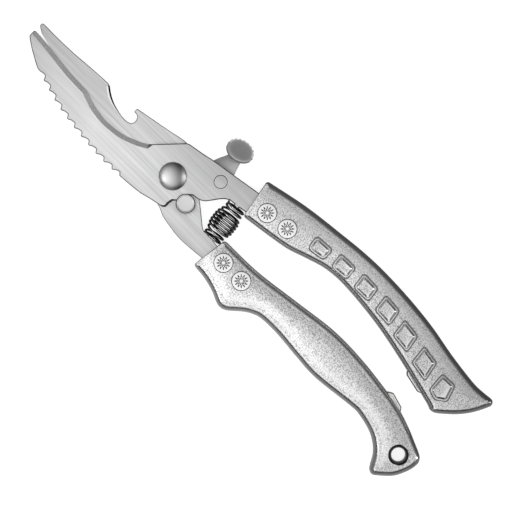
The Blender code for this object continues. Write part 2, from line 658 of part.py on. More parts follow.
front_blade()
rear_blade()
pivot()
stop_stud()
lock_catch()
lock_lever()
lock_rivet()
opening_spring()
upper_handle()
lower_handle()
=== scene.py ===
"""Poultry shears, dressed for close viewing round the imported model.

Lengths are in millimetres until a mesh or an object is made. X runs towards the blade tips, Y towards
the serrated back, and Z up from the surface that the shears lie on, with the main rivet at X = Y = 0.
"""

import math

import bmesh
import bpy
import numpy as np
from mathutils import Matrix, Vector
from mathutils.geometry import delaunay_2d_cdt, tessellate_polygon


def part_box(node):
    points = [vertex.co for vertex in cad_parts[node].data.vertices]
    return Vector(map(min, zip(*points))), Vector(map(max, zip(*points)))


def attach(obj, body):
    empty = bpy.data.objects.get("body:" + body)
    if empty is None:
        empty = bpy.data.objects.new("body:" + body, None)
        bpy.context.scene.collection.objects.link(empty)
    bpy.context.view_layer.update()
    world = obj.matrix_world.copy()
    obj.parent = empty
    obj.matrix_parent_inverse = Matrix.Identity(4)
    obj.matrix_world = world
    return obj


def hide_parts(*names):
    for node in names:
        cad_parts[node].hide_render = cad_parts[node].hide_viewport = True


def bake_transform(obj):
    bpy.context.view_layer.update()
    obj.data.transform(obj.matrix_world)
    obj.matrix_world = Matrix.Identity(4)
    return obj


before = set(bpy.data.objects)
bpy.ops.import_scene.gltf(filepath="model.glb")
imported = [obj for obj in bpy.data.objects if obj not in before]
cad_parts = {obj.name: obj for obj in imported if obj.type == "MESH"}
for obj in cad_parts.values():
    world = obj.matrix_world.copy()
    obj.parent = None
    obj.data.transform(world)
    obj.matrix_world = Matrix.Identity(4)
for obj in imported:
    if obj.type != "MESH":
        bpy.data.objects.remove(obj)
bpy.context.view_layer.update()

MM = 0.001
FRONT, REAR, LEVER = "front_half", "rear_half", "lever"


def low(node):
    """Lowest corner of a CAD node's box."""
    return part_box(node)[0] / MM


def high(node):
    """Highest corner of a CAD node's box."""
    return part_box(node)[1] / MM


def span(node):
    """Lowest and highest Z of a CAD node."""
    return low(node).z, high(node).z


def middle(node):
    """Middle of a CAD node's box, seen from above."""
    return ((low(node) + high(node)) / 2).xy


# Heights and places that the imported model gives
FRONT_BOTTOM, FRONT_TOP = span("front_blade")
REAR_BOTTOM, REAR_TOP = span("rear_blade")
HANDLE_TOP = high("lower_handle").z
GEM_TOP = high("upper_handle").z
PAD_BOTTOM, PAD_TOP = span("upper_stop_pad")
LOCK_AXIS = middle("lock_rivet")
STUD_AXIS = middle("stop_stud")
UPPER_RIVETS = [middle("upper_front_rivet_pin"), middle("upper_rear_rivet_pin")]
LOWER_RIVETS = [middle("lower_front_rivet_pin"), middle("lower_rear_rivet_pin")]

IMAGE_RIGHT = Vector((-1, -1, 0)).normalized()
IMAGE_UP = Vector((1, -1, 0)).normalized()
GAP = 0.3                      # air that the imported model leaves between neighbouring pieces
SAME_POINT = 0.03              # points nearer than this are one point


# ---------------------------------------------------------------- plane geometry

def polar(radius, angle):
    """Point at an angle in degrees about the main rivet."""
    turn = math.radians(angle)
    return Vector((radius * math.cos(turn), radius * math.sin(turn)))


def arc(centre, radius, start, end, steps):
    """Points along an arc, both ends included."""
    angles = [start + (end - start) * i / steps for i in range(steps + 1)]
    return [Vector(centre) + polar(radius, angle) for angle in angles]


def quarter(steps):
    """Angles of a quarter turn in radians, both ends included."""
    return [math.pi / 2 * k / steps for k in range(steps + 1)]


def clamped(value):
    """A value held between 0 and 1."""
    return min(max(value, 0.0), 1.0)


def eased(share):
    """A share that starts and ends gently."""
    return share * share * (3 - 2 * share)


def bend(start, corner, end, steps):
    """Points on a curve that rounds a corner, both ends included."""
    shares = [k / steps for k in range(steps + 1)]
    return [start * (1 - t) ** 2 + corner * 2 * t * (1 - t) + end * t ** 2 for t in shares]


def circle(centre, radius, count):
    """Closed counter-clockwise ring of points."""
    return arc(centre, radius, 0.0, 360.0 - 360.0 / count, count - 1)


def smooth(points, steps=5):
    """Catmull-Rom curve through the points, both ends included."""
    points = [Vector(p) for p in points]
    padded = [2 * points[0] - points[1]] + points + [2 * points[-1] - points[-2]]
    result = [points[0]]
    for a, b, c, d in zip(padded, padded[1:], padded[2:], padded[3:]):
        for step in range(1, steps + 1):
            t = step / steps
            result.append(0.5 * (2 * b + (c - a) * t + (2 * a - 5 * b + 4 * c - d) * t ** 2
                                 + (3 * b - a - 3 * c + d) * t ** 3))
    return result


def join(*runs):
    """One closed outline from runs laid end to end, with a shared end kept once."""
    result = []
    for run in runs:
        for point in run:
            point = Vector(point)
            if not result or (point - result[-1]).length > SAME_POINT:
                result.append(point)
    while (result[0] - result[-1]).length <= SAME_POINT:
        result.pop()
    return result


def normals(run, closed=True):
    """Unit normals on the left of a run, scaled so that an offset keeps its width at corners."""
    result = []
    for i, point in enumerate(run):
        before = run[i - 1] if closed or i else None
        after = run[(i + 1) % len(run)] if closed or i < len(run) - 1 else None
        sides = []
        for start, end in ((before, point), (point, after)):
            if start is not None and end is not None:
                way = (end - start).normalized()
                sides.append(Vector((-way.y, way.x)))
        mean = sum(sides, Vector((0, 0))).normalized()
        result.append(mean / max(mean.dot(sides[0]), 0.6))
    return result


def offset(run, distance):
    """A closed run moved to its left."""
    return [p + n * distance for p, n in zip(run, normals(run))]


def along(run, count):
    """Points at equal steps of length along a run."""
    lengths = np.concatenate([[0.0], np.cumsum([(b - a).length for a, b in zip(run, run[1:])])])
    targets = np.linspace(0.0, lengths[-1], count + 1)
    xs = np.interp(targets, lengths, [p.x for p in run])
    ys = np.interp(targets, lengths, [p.y for p in run])
    return [Vector(p) for p in zip(xs, ys)]


def at_height(run, height):
    """A plane run lifted to one height, or to one height a point."""
    heights = height if isinstance(height, (list, np.ndarray)) else [height] * len(run)
    return [Vector((p[0], p[1], float(h))) for p, h in zip(run, heights)]


def circles(centre, profile, count):
    """Level rings about a point, from (radius, height) pairs."""
    return [at_height(circle(centre, radius, count), height) for radius, height in profile]


def flat_array(points):
    """Points as an array of X and Y."""
    return np.array([tuple(p[:2]) for p in points])


def inside(points, polygon):
    """Which of an array of points lie inside a polygon."""
    x, y = points[:, 0], points[:, 1]
    result = np.zeros(len(points), bool)
    for a, b in zip(polygon, polygon[1:] + polygon[:1]):
        crosses = (a[1] > y) != (b[1] > y)
        if a[1] != b[1]:
            result ^= crosses & (x < (b[0] - a[0]) * (y - a[1]) / (b[1] - a[1]) + a[0])
    return result


def distance(points, run, closed=False):
    """Distance from each of an array of points to a run."""
    result = np.full(len(points), 1e9)
    ends = run[1:] + (run[:1] if closed else [])
    for a, b in zip(run, ends):
        a, b = np.array(a[:2]), np.array(b[:2])
        way = b - a
        share = np.clip((points - a) @ way / max(way @ way, 1e-9), 0, 1)
        result = np.minimum(result, np.linalg.norm(points - a - share[:, None] * way, axis=1))
    return result


# ---------------------------------------------------------------- shapes

class Shape:
    """Points with how much painted shade and how much wear and painted sheen each has, and faces with a
    material number each.
    """

    def __init__(self):
        self.points, self.faces, self.marks, self.grooves, self.worn = [], [], [], [], []

    def add(self, points, faces, mark=0, groove=0.0, worn=0.0):
        """More points and faces; the last three are one value or a list each."""
        first = len(self.points)
        self.points.extend(Vector(p) for p in points)
        self.grooves.extend(groove if isinstance(groove, list) else [groove] * len(points))
        self.worn.extend(worn if isinstance(worn, list) else [worn] * len(points))
        self.faces.extend([i + first for i in face] for face in faces)
        self.marks.extend(mark if isinstance(mark, list) else [mark] * len(faces))
        return self

    def skin(self, loops, mark=0, grooves=0.0, worn=0.0):
        """Quads between neighbouring closed loops of equal count.

        The painted shade and the wear and sheen are each one value, or a list with a value or a row of
        values for each loop.
        """
        count = len(loops[0])

        def spread(values):
            """One value for each point."""
            if not isinstance(values, list):
                return values
            return [v for row in values for v in (row if isinstance(row, list) else [row] * count)]

        faces = []
        for level in range(len(loops) - 1):
            for i in range(count):
                j = (i + 1) % count
                a, b = level * count, (level + 1) * count
                faces.append((a + i, a + j, b + j, b + i))
        return self.add([p for loop in loops for p in loop], faces, mark, spread(grooves), spread(worn))

    def cap(self, outline, holes=()):
        """Flat face inside an outline, with holes."""
        loops = [outline, *holes]
        flat = [[Vector((p[0], p[1], 0)) for p in loop] for loop in loops]
        return self.add([p for loop in loops for p in loop], tessellate_polygon(flat))

    def fan(self, loop, centre, groove=0.0):
        """Triangles from a loop to a point."""
        count = len(loop)
        return self.add([*loop, centre], [(i, (i + 1) % count, count) for i in range(count)], 0, groove)

    def moved(self, matrix):
        """The shape with its points put through a matrix."""
        self.points = [matrix @ p for p in self.points]
        return self


def placed(name, data):
    """A new object in the scene."""
    result = bpy.data.objects.new(name, data)
    bpy.context.scene.collection.objects.link(result)
    return result


def piece(name, shape, looks, sharp=30.0):
    """An object from a shape, with its faces turned outwards and its seams closed."""
    mesh = bpy.data.meshes.new(name)
    mesh.from_pydata([p * MM for p in shape.points], [], shape.faces)
    mesh.polygons.foreach_set("material_index", shape.marks)
    for key, values in (("groove", shape.grooves), ("worn", shape.worn)):
        mesh.attributes.new(key, "FLOAT", "POINT").data.foreach_set("value", values)
    for look in looks:
        mesh.materials.append(look)
    bm = bmesh.new()
    bm.from_mesh(mesh)
    bmesh.ops.remove_doubles(bm, verts=bm.verts, dist=1e-6)
    bmesh.ops.dissolve_degenerate(bm, edges=bm.edges, dist=1e-7)
    bmesh.ops.recalc_face_normals(bm, faces=bm.faces)
    bm.to_mesh(mesh)
    bm.free()
    mesh.shade_smooth()
    mesh.set_sharp_from_angle(angle=math.radians(sharp))
    return placed(name, mesh)


def stand_for(node, body, name, shape, looks, sharp=30.0):
    """Makes a piece and puts it in the place of one CAD node."""
    result = piece(name, shape, looks, sharp)
    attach(result, body)
    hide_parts(node)


def turned(profile, centre=(0, 0), count=96, dark_from=None):
    """A closed turned shape from (radius, height) points that start and end on the axis.

    It is painted in shade where its radius is more than dark_from.
    """
    rings = [(r, z) for r, z in profile if r > 0]
    loops = circles(centre, rings, count)
    shape = Shape().skin(loops, grooves=[0.9 if dark_from and r > dark_from else 0.0 for r, _ in rings])
    for loop, (_, z) in ((loops[0], profile[0]), (loops[-1], profile[-1])):
        shape.fan(loop, Vector((*centre, z)))
    return shape


def ring(centre, inner, outer, bottom, top, edge=0.08, count=72):
    """A washer with broken edges."""
    profile = [(inner + edge, bottom), (outer - edge, bottom), (outer, bottom + edge), (outer, top - edge),
               (outer - edge, top), (inner + edge, top), (inner, top - edge), (inner, bottom + edge)]
    return Shape().skin(circles(centre, profile + profile[:1], count))


def rounded(points, radius, steps=4):
    """A turned profile with its inner corners rounded."""
    points = [Vector(p) for p in points]
    result = [points[0]]
    for before, here, after in zip(points, points[1:], points[2:]):
        back, ahead = before - here, after - here
        reach = min(radius, back.length * 0.45, ahead.length * 0.45)
        result += bend(here + back.normalized() * reach, here, here + ahead.normalized() * reach, steps)
    return result + [points[-1]]


# ---------------------------------------------------------------- materials

def add_node(tree, kind, settings=None, inputs=None):
    """A shader node with its settings, and its inputs given as values or as sockets to link."""
    made = tree.nodes.new("ShaderNode" + kind)
    for name, value in (settings or {}).items():
        setattr(made, name, value)
    for name, value in (inputs or {}).items():
        if isinstance(value, bpy.types.NodeSocket):
            tree.links.new(value, made.inputs[name])
        else:
            made.inputs[name].default_value = value
    return made


def attribute(tree, name):
    """One of a shape's own values: its painted shade, or its wear and sheen."""
    return add_node(tree, "Attribute", {"attribute_name": name}).outputs["Fac"]


def dot(tree, vector, way):
    """How far a vector reaches along a way."""
    return add_node(tree, "VectorMath", {"operation": "DOT_PRODUCT"}, {0: vector, 1: way}).outputs["Value"]


def noise(tree, stretch, detail=2.0, roughness=0.5):
    """Noise whose cells are 1 / stretch metres along each axis of the piece."""
    stretch = stretch if isinstance(stretch, tuple) else (stretch, stretch, stretch)
    place = add_node(tree, "TexCoord").outputs["Object"]
    scaled = add_node(tree, "Mapping", None, {"Vector": place, "Scale": stretch}).outputs["Vector"]
    inputs = {"Vector": scaled, "Scale": 1.0, "Detail": detail, "Roughness": roughness}
    return add_node(tree, "TexNoise", None, inputs).outputs["Fac"]


def ramp(tree, value, low_in, high_in, low_out, high_out):
    """A value mapped from one range to another and held at its ends."""
    inputs = {"Value": value, "From Min": low_in, "From Max": high_in}
    inputs.update({"To Min": low_out, "To Max": high_out})
    return add_node(tree, "MapRange", {"clamp": True}, inputs).outputs["Result"]


def maths(tree, operation, a, b):
    """The result of one operation on two values."""
    return add_node(tree, "Math", {"operation": operation}, {0: a, 1: b}).outputs["Value"]


def weighed(tree, share, a, b):
    """Two values added up, with the share given to the first and the rest to the second."""
    return maths(tree, "ADD", maths(tree, "MULTIPLY", a, share), maths(tree, "MULTIPLY", b, 1 - share))


def blend_colours(tree, share, first, second, how="MIX"):
    """A colour between two, or their product; each is a socket, a grey level or an RGB value."""
    inputs = {0: share}
    for socket, colour in ((6, first), (7, second)):
        colour = (colour, colour, colour) if isinstance(colour, (int, float)) else colour
        inputs[socket] = (*colour, 1.0) if isinstance(colour, tuple) else colour
    return add_node(tree, "Mix", {"data_type": "RGBA", "blend_type": how}, inputs).outputs[2]


def mottled(tree, value, start, end, tint, dark):
    """A tint, times the factor dark where the value is low."""
    dim = tuple(c * dark for c in tint)
    return blend_colours(tree, ramp(tree, value, start, end, 0, 1), dim, tint)


def grey_ramp(tree, value, stops):
    """Grey level from (position, level) stops."""
    made = add_node(tree, "ValToRGB", None, {"Fac": value})
    elements = made.color_ramp.elements
    while len(elements) < len(stops):
        elements.new(0.5)
    for element, (position, level) in zip(elements, stops):
        element.position, element.color = position, (level, level, level, 1.0)
    return made.outputs["Color"]


def with_painted_light(tree, colour, painted_light):
    """A colour multiplied by painted light and shade: grey levels, each along one way, from (millimetres,
    level) stops.
    """
    for way, stops in painted_light:
        place = dot(tree, add_node(tree, "TexCoord").outputs["Object"], way)
        start, end = stops[0][0], stops[-1][0]
        shares = [((at - start) / (end - start), level) for at, level in stops]
        level = grey_ramp(tree, ramp(tree, place, start * MM, end * MM, 0.0, 1.0), shares)
        colour = blend_colours(tree, 1.0, colour, level, "MULTIPLY")
    return colour


def bump(tree, height, strength, depth):
    """Surface relief from a value, at most depth millimetres deep."""
    inputs = {"Height": height, "Strength": strength, "Distance": depth * MM}
    return add_node(tree, "Bump", None, inputs).outputs["Normal"]


def surface(name, metallic):
    """A new material, its tree and its Principled shader."""
    result = bpy.data.materials.new(name)
    result.use_nodes = True
    shader = result.node_tree.nodes["Principled BSDF"]
    shader.inputs["Metallic"].default_value = metallic
    return result, result.node_tree, shader


def feed(tree, shader, colour, rough=None, normal=None, glow=None):
    """Links sockets into the shader."""
    for name, socket in (("Base Color", colour), ("Roughness", rough), ("Normal", normal),
                         ("Emission Color", glow)):
        if socket:
            tree.links.new(socket, shader.inputs[name])


def brushed_steel(name, tint, roughness, grain, painted_light):
    """Steel with fine straight brushing along X, darker streaks and faint smudges, under painted light and
    shade.
    """
    result, tree, shader = surface(name, 1.0)
    streaks = noise(tree, (14, 900, 60), 3.0, 0.6)
    scratches = noise(tree, (40, 5200, 200), 2.0, 0.6)
    smudges = noise(tree, 35)
    mixed = weighed(tree, 0.6, streaks, scratches)
    colour = mottled(tree, mixed, 0.3, 0.7, tint, 1 - 0.17 * grain)
    rough = maths(tree, "ADD", ramp(tree, mixed, 0.3, 0.7, roughness + 0.07, roughness - 0.04),
                  ramp(tree, smudges, 0.35, 0.7, -0.02, 0.05))
    feed(tree, shader, with_painted_light(tree, colour, painted_light), rough, bump(tree, mixed, 0.22 * grain, 0.02))
    return result


def ground_steel(name, tint, roughness, metallic=1.0):
    """Steel off the grinding wheel, with short marks across the edge."""
    result, tree, shader = surface(name, metallic)
    marks = noise(tree, (2600, 500, 500), 2.0, 0.7)
    mixed = weighed(tree, 0.7, marks, noise(tree, 240))
    feed(tree, shader, mottled(tree, mixed, 0.35, 0.65, tint, 0.8),
         ramp(tree, mixed, 0.3, 0.7, roughness + 0.1, roughness - 0.05), bump(tree, marks, 0.35, 0.03))
    return result


def blasted_steel(name, tint):
    """Steel with a matte bead-blasted skin and slightly brighter rubbed patches, painted bright on its
    lobes as a highlight and darker where painted in shade.
    """
    result, tree, shader = surface(name, 0.55)
    pits, rub_and_sheen = noise(tree, 2800, 2.0, 0.6), noise(tree, 160)
    mixed = weighed(tree, 0.5, pits, rub_and_sheen)
    unshaded = blend_colours(tree, attribute(tree, "worn"), mottled(tree, mixed, 0.35, 0.65, tint, 0.82), 0.95)
    feed(tree, shader, blend_colours(tree, attribute(tree, "groove"), unshaded, PAINTED_SHADE_GREY),
         ramp(tree, rub_and_sheen, 0.3, 0.7, 0.58, 0.46), bump(tree, pits, 0.25, 0.03))
    return result


def polished_steel(name, tint, roughness, scratch=0.05, painted_light=()):
    """Bright steel with hairline scratches, a haze of handling marks, any painted light and shade it is
    given, and painted shade in its grooves.
    """
    result, tree, shader = surface(name, 1.0)
    haze = noise(tree, 180, 3.0)
    hairlines = noise(tree, (600, 5000, 3000), 2.0, 0.7)
    groove = attribute(tree, "groove")
    unshaded = mottled(tree, haze, 0.35, 0.7, tint, 0.93)
    rough = maths(tree, "ADD", ramp(tree, haze, 0.3, 0.7, roughness, roughness + 0.08),
                  maths(tree, "MULTIPLY", groove, 0.25))
    feed(tree, shader, blend_colours(tree, groove, with_painted_light(tree, unshaded, painted_light), PAINTED_SHADE_GREY), rough,
         bump(tree, hairlines, scratch, 0.01))
    return result


def cast_metal(name):
    """Silver cast metal with pebbled grain on its faces, smoother worn rims, a painted highlight stripe,
    painted light and shade, and painted shade in its grooves.
    """
    result, tree, shader = surface(name, 1.0)
    grain = weighed(tree, 0.6, noise(tree, 1900, 1.0, 0.6), noise(tree, 3900, 1.0, 0.6))
    worn = attribute(tree, "worn")
    unshaded = blend_colours(tree, worn, mottled(tree, grain, 0.41, 0.53, (1.0, 1.0, 1.0), 0.42), 0.95)
    shade_share = maths(tree, "MULTIPLY", attribute(tree, "groove"), 0.8)
    rough = maths(tree, "ADD", ramp(tree, worn, 0.0, 1.0, 0.36, 0.17),
                  ramp(tree, noise(tree, 120), 0.3, 0.7, -0.03, 0.05))
    colour = blend_colours(tree, shade_share, with_painted_light(tree, unshaded, HANDLE_PAINTED_SHADE), PAINTED_SHADE_GREY)
    feed(tree, shader, colour, rough, bump(tree, grain, ramp(tree, worn, 0.0, 1.0, 1.0, 0.12), 0.14))
    return result


def black_wire(name):
    """Blackened spring wire, with a painted highlight along the outer crest of its coils, on their upper
    side.
    """
    result, tree, shader = surface(name, 1.0)
    rub_and_sheen = noise(tree, 400, 3.0, 0.6)
    bright = maths(tree, "MULTIPLY", attribute(tree, "worn"), ramp(tree, rub_and_sheen, 0.3, 0.6, 0.5, 1.0))
    feed(tree, shader, blend_colours(tree, bright, 0.035, 0.95), ramp(tree, rub_and_sheen, 0.3, 0.7, 0.1, 0.2),
         bump(tree, noise(tree, 3000), 0.1, 0.01))
    return result


def pad_plastic(name):
    """Moulded white plastic, faintly mottled, with a satin surface, darker where painted in shade."""
    result, tree, shader = surface(name, 0.0)
    mottle = noise(tree, 300, 3.0)
    unshaded = blend_colours(tree, ramp(tree, mottle, 0.3, 0.7, 0, 1), (0.70, 0.70, 0.69), (0.78, 0.78, 0.77))
    feed(tree, shader, blend_colours(tree, attribute(tree, "groove"), unshaded, 0.03),
         ramp(tree, mottle, 0.3, 0.7, 0.38, 0.5), bump(tree, noise(tree, 5000), 0.1, 0.02))
    return result


PAINTED_SHADE_GREY = 0.06                   # grey level of the darkest painted shade
STEEL = (0.95, 0.95, 0.955)
ALONG_X, ALONG_Y = (1, 0, 0), (0, 1, 0)
# painted light and shade: grey levels that darken the blades towards their tips and shank edge, and the
# handles towards their butts and one side
FRONT_PAINTED_SHADE = ((ALONG_X, [(-34, 0.77), (-12, 0.77), (12, 0.84), (38, 0.93), (62, 0.82), (86, 0.66)]),
               (ALONG_Y, [(-19, 0.72), (-10, 0.88), (2, 1.0), (16, 1.0)]))
REAR_PAINTED_SHADE = ((ALONG_X, [(-34, 0.77), (0, 0.78), (30, 0.81), (50, 0.75), (86, 0.61)]),)
HANDLE_PAINTED_SHADE = ((ALONG_X, [(-165, 0.76), (-145, 0.79), (-125, 0.86), (-105, 0.92), (-85, 1.0), (-30, 1.0)]),
                (ALONG_Y, [(-36, 0.82), (-16, 0.86), (-2, 1.0), (30, 1.0)]))
FRONT_STEEL = brushed_steel("brushed front blade steel", STEEL, 0.3, 1.5, FRONT_PAINTED_SHADE)
REAR_STEEL = brushed_steel("brushed rear blade steel", STEEL, 0.3, 1.7, REAR_PAINTED_SHADE)
GROUND = ground_steel("ground edge steel", (0.92, 0.92, 0.925), 0.55, 0.75)
# painted shade: near-black steel for the notch's sharpened strip and the gap beside the stud
SHADED_GROUND = ground_steel("notch steel painted in shade", (0.05, 0.05, 0.052), 0.35)
# painted highlight: white steel for the lip beside the notch's sharpened strip
HIGHLIGHT_STEEL = polished_steel("edge steel painted with a highlight", (1.0, 1.0, 1.0), 0.3)
# painted reflection: a dark band across the dome along IMAGE_RIGHT, lighter again near its edge
DOME_PAINTED_REFLECTION = ((IMAGE_RIGHT, [(-6, 1.0), (-3.4, 1.0), (-1.4, 0.85), (0.6, 0.62), (2.2, 0.42), (3.4, 0.38),
                             (4.4, 0.8), (5.2, 1.0), (6, 0.6)]),)
DOME = polished_steel("polished rivet steel", (0.92, 0.92, 0.925), 0.38, painted_light=DOME_PAINTED_REFLECTION)
SATIN = polished_steel("satin stud steel", (0.72, 0.72, 0.72), 0.3, 0.12)
ROSETTE = polished_steel("rosette rivet steel", (0.92, 0.92, 0.92), 0.26, 0.1)
WASHER = polished_steel("turned washer steel", (0.5, 0.5, 0.51), 0.35, 0.15)
LEVER_STEEL = blasted_steel("blasted thumb lever steel", (0.62, 0.62, 0.625))
CAST = cast_metal("cast handle metal")
WIRE = black_wire("black spring wire")
PLASTIC = pad_plastic("stop pad plastic")


# ---------------------------------------------------------------- blades

EDGE_LAND = 0.35               # flat left at the cutting edge
BEVEL_WIDTH = 2.05             # ground bevel, seen from the front
BROKEN_EDGE = 0.3              # small chamfer round a plate's faces
PIVOT_HOLE = ((0, 0), 4.0, 72)           # centre, radius and points of the hole in both plates
HOLE_BREAK = 0.12              # broken edge round a hole
TOOTH_COUNT = 11
SERRATION_DEPTH = 1.4
SERRATION_LEAN = 0.17          # how far each serration leans towards the tip


def serration():
    """Leaning rounded teeth along the front blade's back, from near its tip to the pivot."""
    parts = 20
    base = along(smooth([(68.8, 8.2), (55.6, 11.9), (41.6, 14.0), (27.5, 15.0), (17.4, 14.7)], 12),
                 TOOTH_COUNT * parts)
    outward = [-n for n in normals(base, False)]
    result = []
    for k in range(TOOTH_COUNT * parts):
        share = k % parts / parts
        phase = share + SERRATION_LEAN * math.sin(math.pi * share) ** 2
        lift = SERRATION_DEPTH * math.sin(math.pi * phase) ** 2
        result.append(base[k] + outward[k] * lift)
    return result + [base[-1]]


def stacked(holes, layers, marks=()):
    """A closed plate from (height, outline, how much the holes widen) layers.

    Holes are (centre, radius, points). Marks are functions that give a side strip's materials.
    """
    solid = [(at_height(outline, z), [at_height(circle(centre, radius + extra, count), z)
                                      for centre, radius, count in holes]) for z, outline, extra in layers]
    marks = marks or [None] * (len(layers) - 1)
    shape = Shape()
    for (outline0, holes0), (outline1, holes1), strip in zip(solid, solid[1:], marks):
        shape.skin([outline0, outline1], mark=[strip(i) if strip else 0 for i in range(len(outline0))])
        for pair in zip(holes0, holes1):
            shape.skin(pair)
    shape.cap(*solid[0])
    return shape.cap(*solid[-1])


def front_blade():
    """The upper plate: serrated back, hump and straight cutting edge, arc notch, shank and tang."""
    hump = smooth([(17.0, -2.4), (20.0, -0.6), (23.8, 1.0), (27.8, 2.4), (32.4, 3.1), (37.5, 3.4),
                   (43.7, 2.6), (49.0, 1.0), (51.5, 0.1)])
    point = smooth([(51.5, 0.1), (62.0, -0.3), (71.7, -1.4), (80.9, -2.3), (85.3, -2.5)])
    edge = hump + point[1:]
    tip = smooth([(85.3, -2.5), (85.5, -1.0), (85.4, 0.3), (84.8, 1.3), (82.1, 3.2), (78.1, 5.6),
                  (73.6, 8.0), (71.8, 8.4), (69.5, 8.0), (68.8, 8.2)])
    belly = smooth([(16.2, 15.9), (9.5, 15.4), (4.6, 14.8), (0.3, 13.7), (-4.1, 12.8), (-6.0, 12.3),
                    (-7.0, 11.2), (-7.0, 9.6)])
    stop_notch = arc((0, 0), 10.4, 134.0, 175.5, 24)
    throat = smooth([(-11.7, -0.3), (-15.1, -0.9), (-17.7, -2.7), (-21.6, -7.9), (-24.2, -9.9)])
    spring_nub = [(-26.9, -10.2), (-27.0, -9.6), (-29.2, -9.4), (-29.4, -10.5)]
    tang = smooth([(-32.0, -11.0), (-39.5, -11.9), (-50.3, -13.2), (-57.5, -14.8), (-60.4, -19.6),
                   (-57.5, -24.2), (-50.3, -24.0), (-39.5, -22.4), (-30.2, -20.7)])
    top_edge = smooth([(-30.2, -20.7), (-17.9, -18.7), (-7.4, -17.0), (-3.3, -16.1), (4.6, -14.7)])
    shoulder = [(5.6, -14.2), (15.6, -3.7)]
    rest = join(tip, serration(), belly, stop_notch, throat, spring_nub, tang, top_edge, shoulder)
    rest = [p for p in rest if (p - edge[-1]).length > SAME_POINT]
    last = len(edge) - 1
    edge_way, rest_way = normals(edge, False), normals(edge + rest)[len(edge):]

    curl, curl_reach = Vector((-6.7, 9.6)), 3.7      # where the plate curls round beside the stud, and its break is painted black as shadow
    wide = [1.0 + 1.3 * max(0.0, 1.0 - ((p - curl).length / curl_reach) ** 2) for p in rest]

    def outline(bevel, inset):
        """The break of the edge is wider beside the stud."""
        return ([p + n * bevel for p, n in zip(edge, edge_way)]
                + [p + n * inset * w for p, n, w in zip(rest, rest_way, wide)])

    holes = [PIVOT_HOLE, (LOCK_AXIS, 2.82, 56)]
    c = BROKEN_EDGE + 0.12
    land = FRONT_BOTTOM + EDGE_LAND + 0.12
    slope = BEVEL_WIDTH / (FRONT_TOP - land)
    layers = [(FRONT_BOTTOM, outline(0, c), c),
              (FRONT_BOTTOM + c, outline(0, 0), 0),
              (land, outline(0, 0), 0),
              (FRONT_TOP - c, outline((FRONT_TOP - c - land) * slope, 0), 0),
              (FRONT_TOP, outline(BEVEL_WIDTH, c), HOLE_BREAK)]

    def ground(i):
        """The bevel along the cutting edge is ground."""
        return 1 if i < last else 0

    def rim(i):
        """Where the break is wide it is painted black as shadow."""
        return 2 if i >= len(edge) and wide[i - len(edge)] > 1.2 else ground(i)

    stand_for("front_blade", FRONT, "front_blade_plate",
              stacked(holes, layers, [None, None, ground, rim]), [FRONT_STEEL, GROUND, SHADED_GROUND])


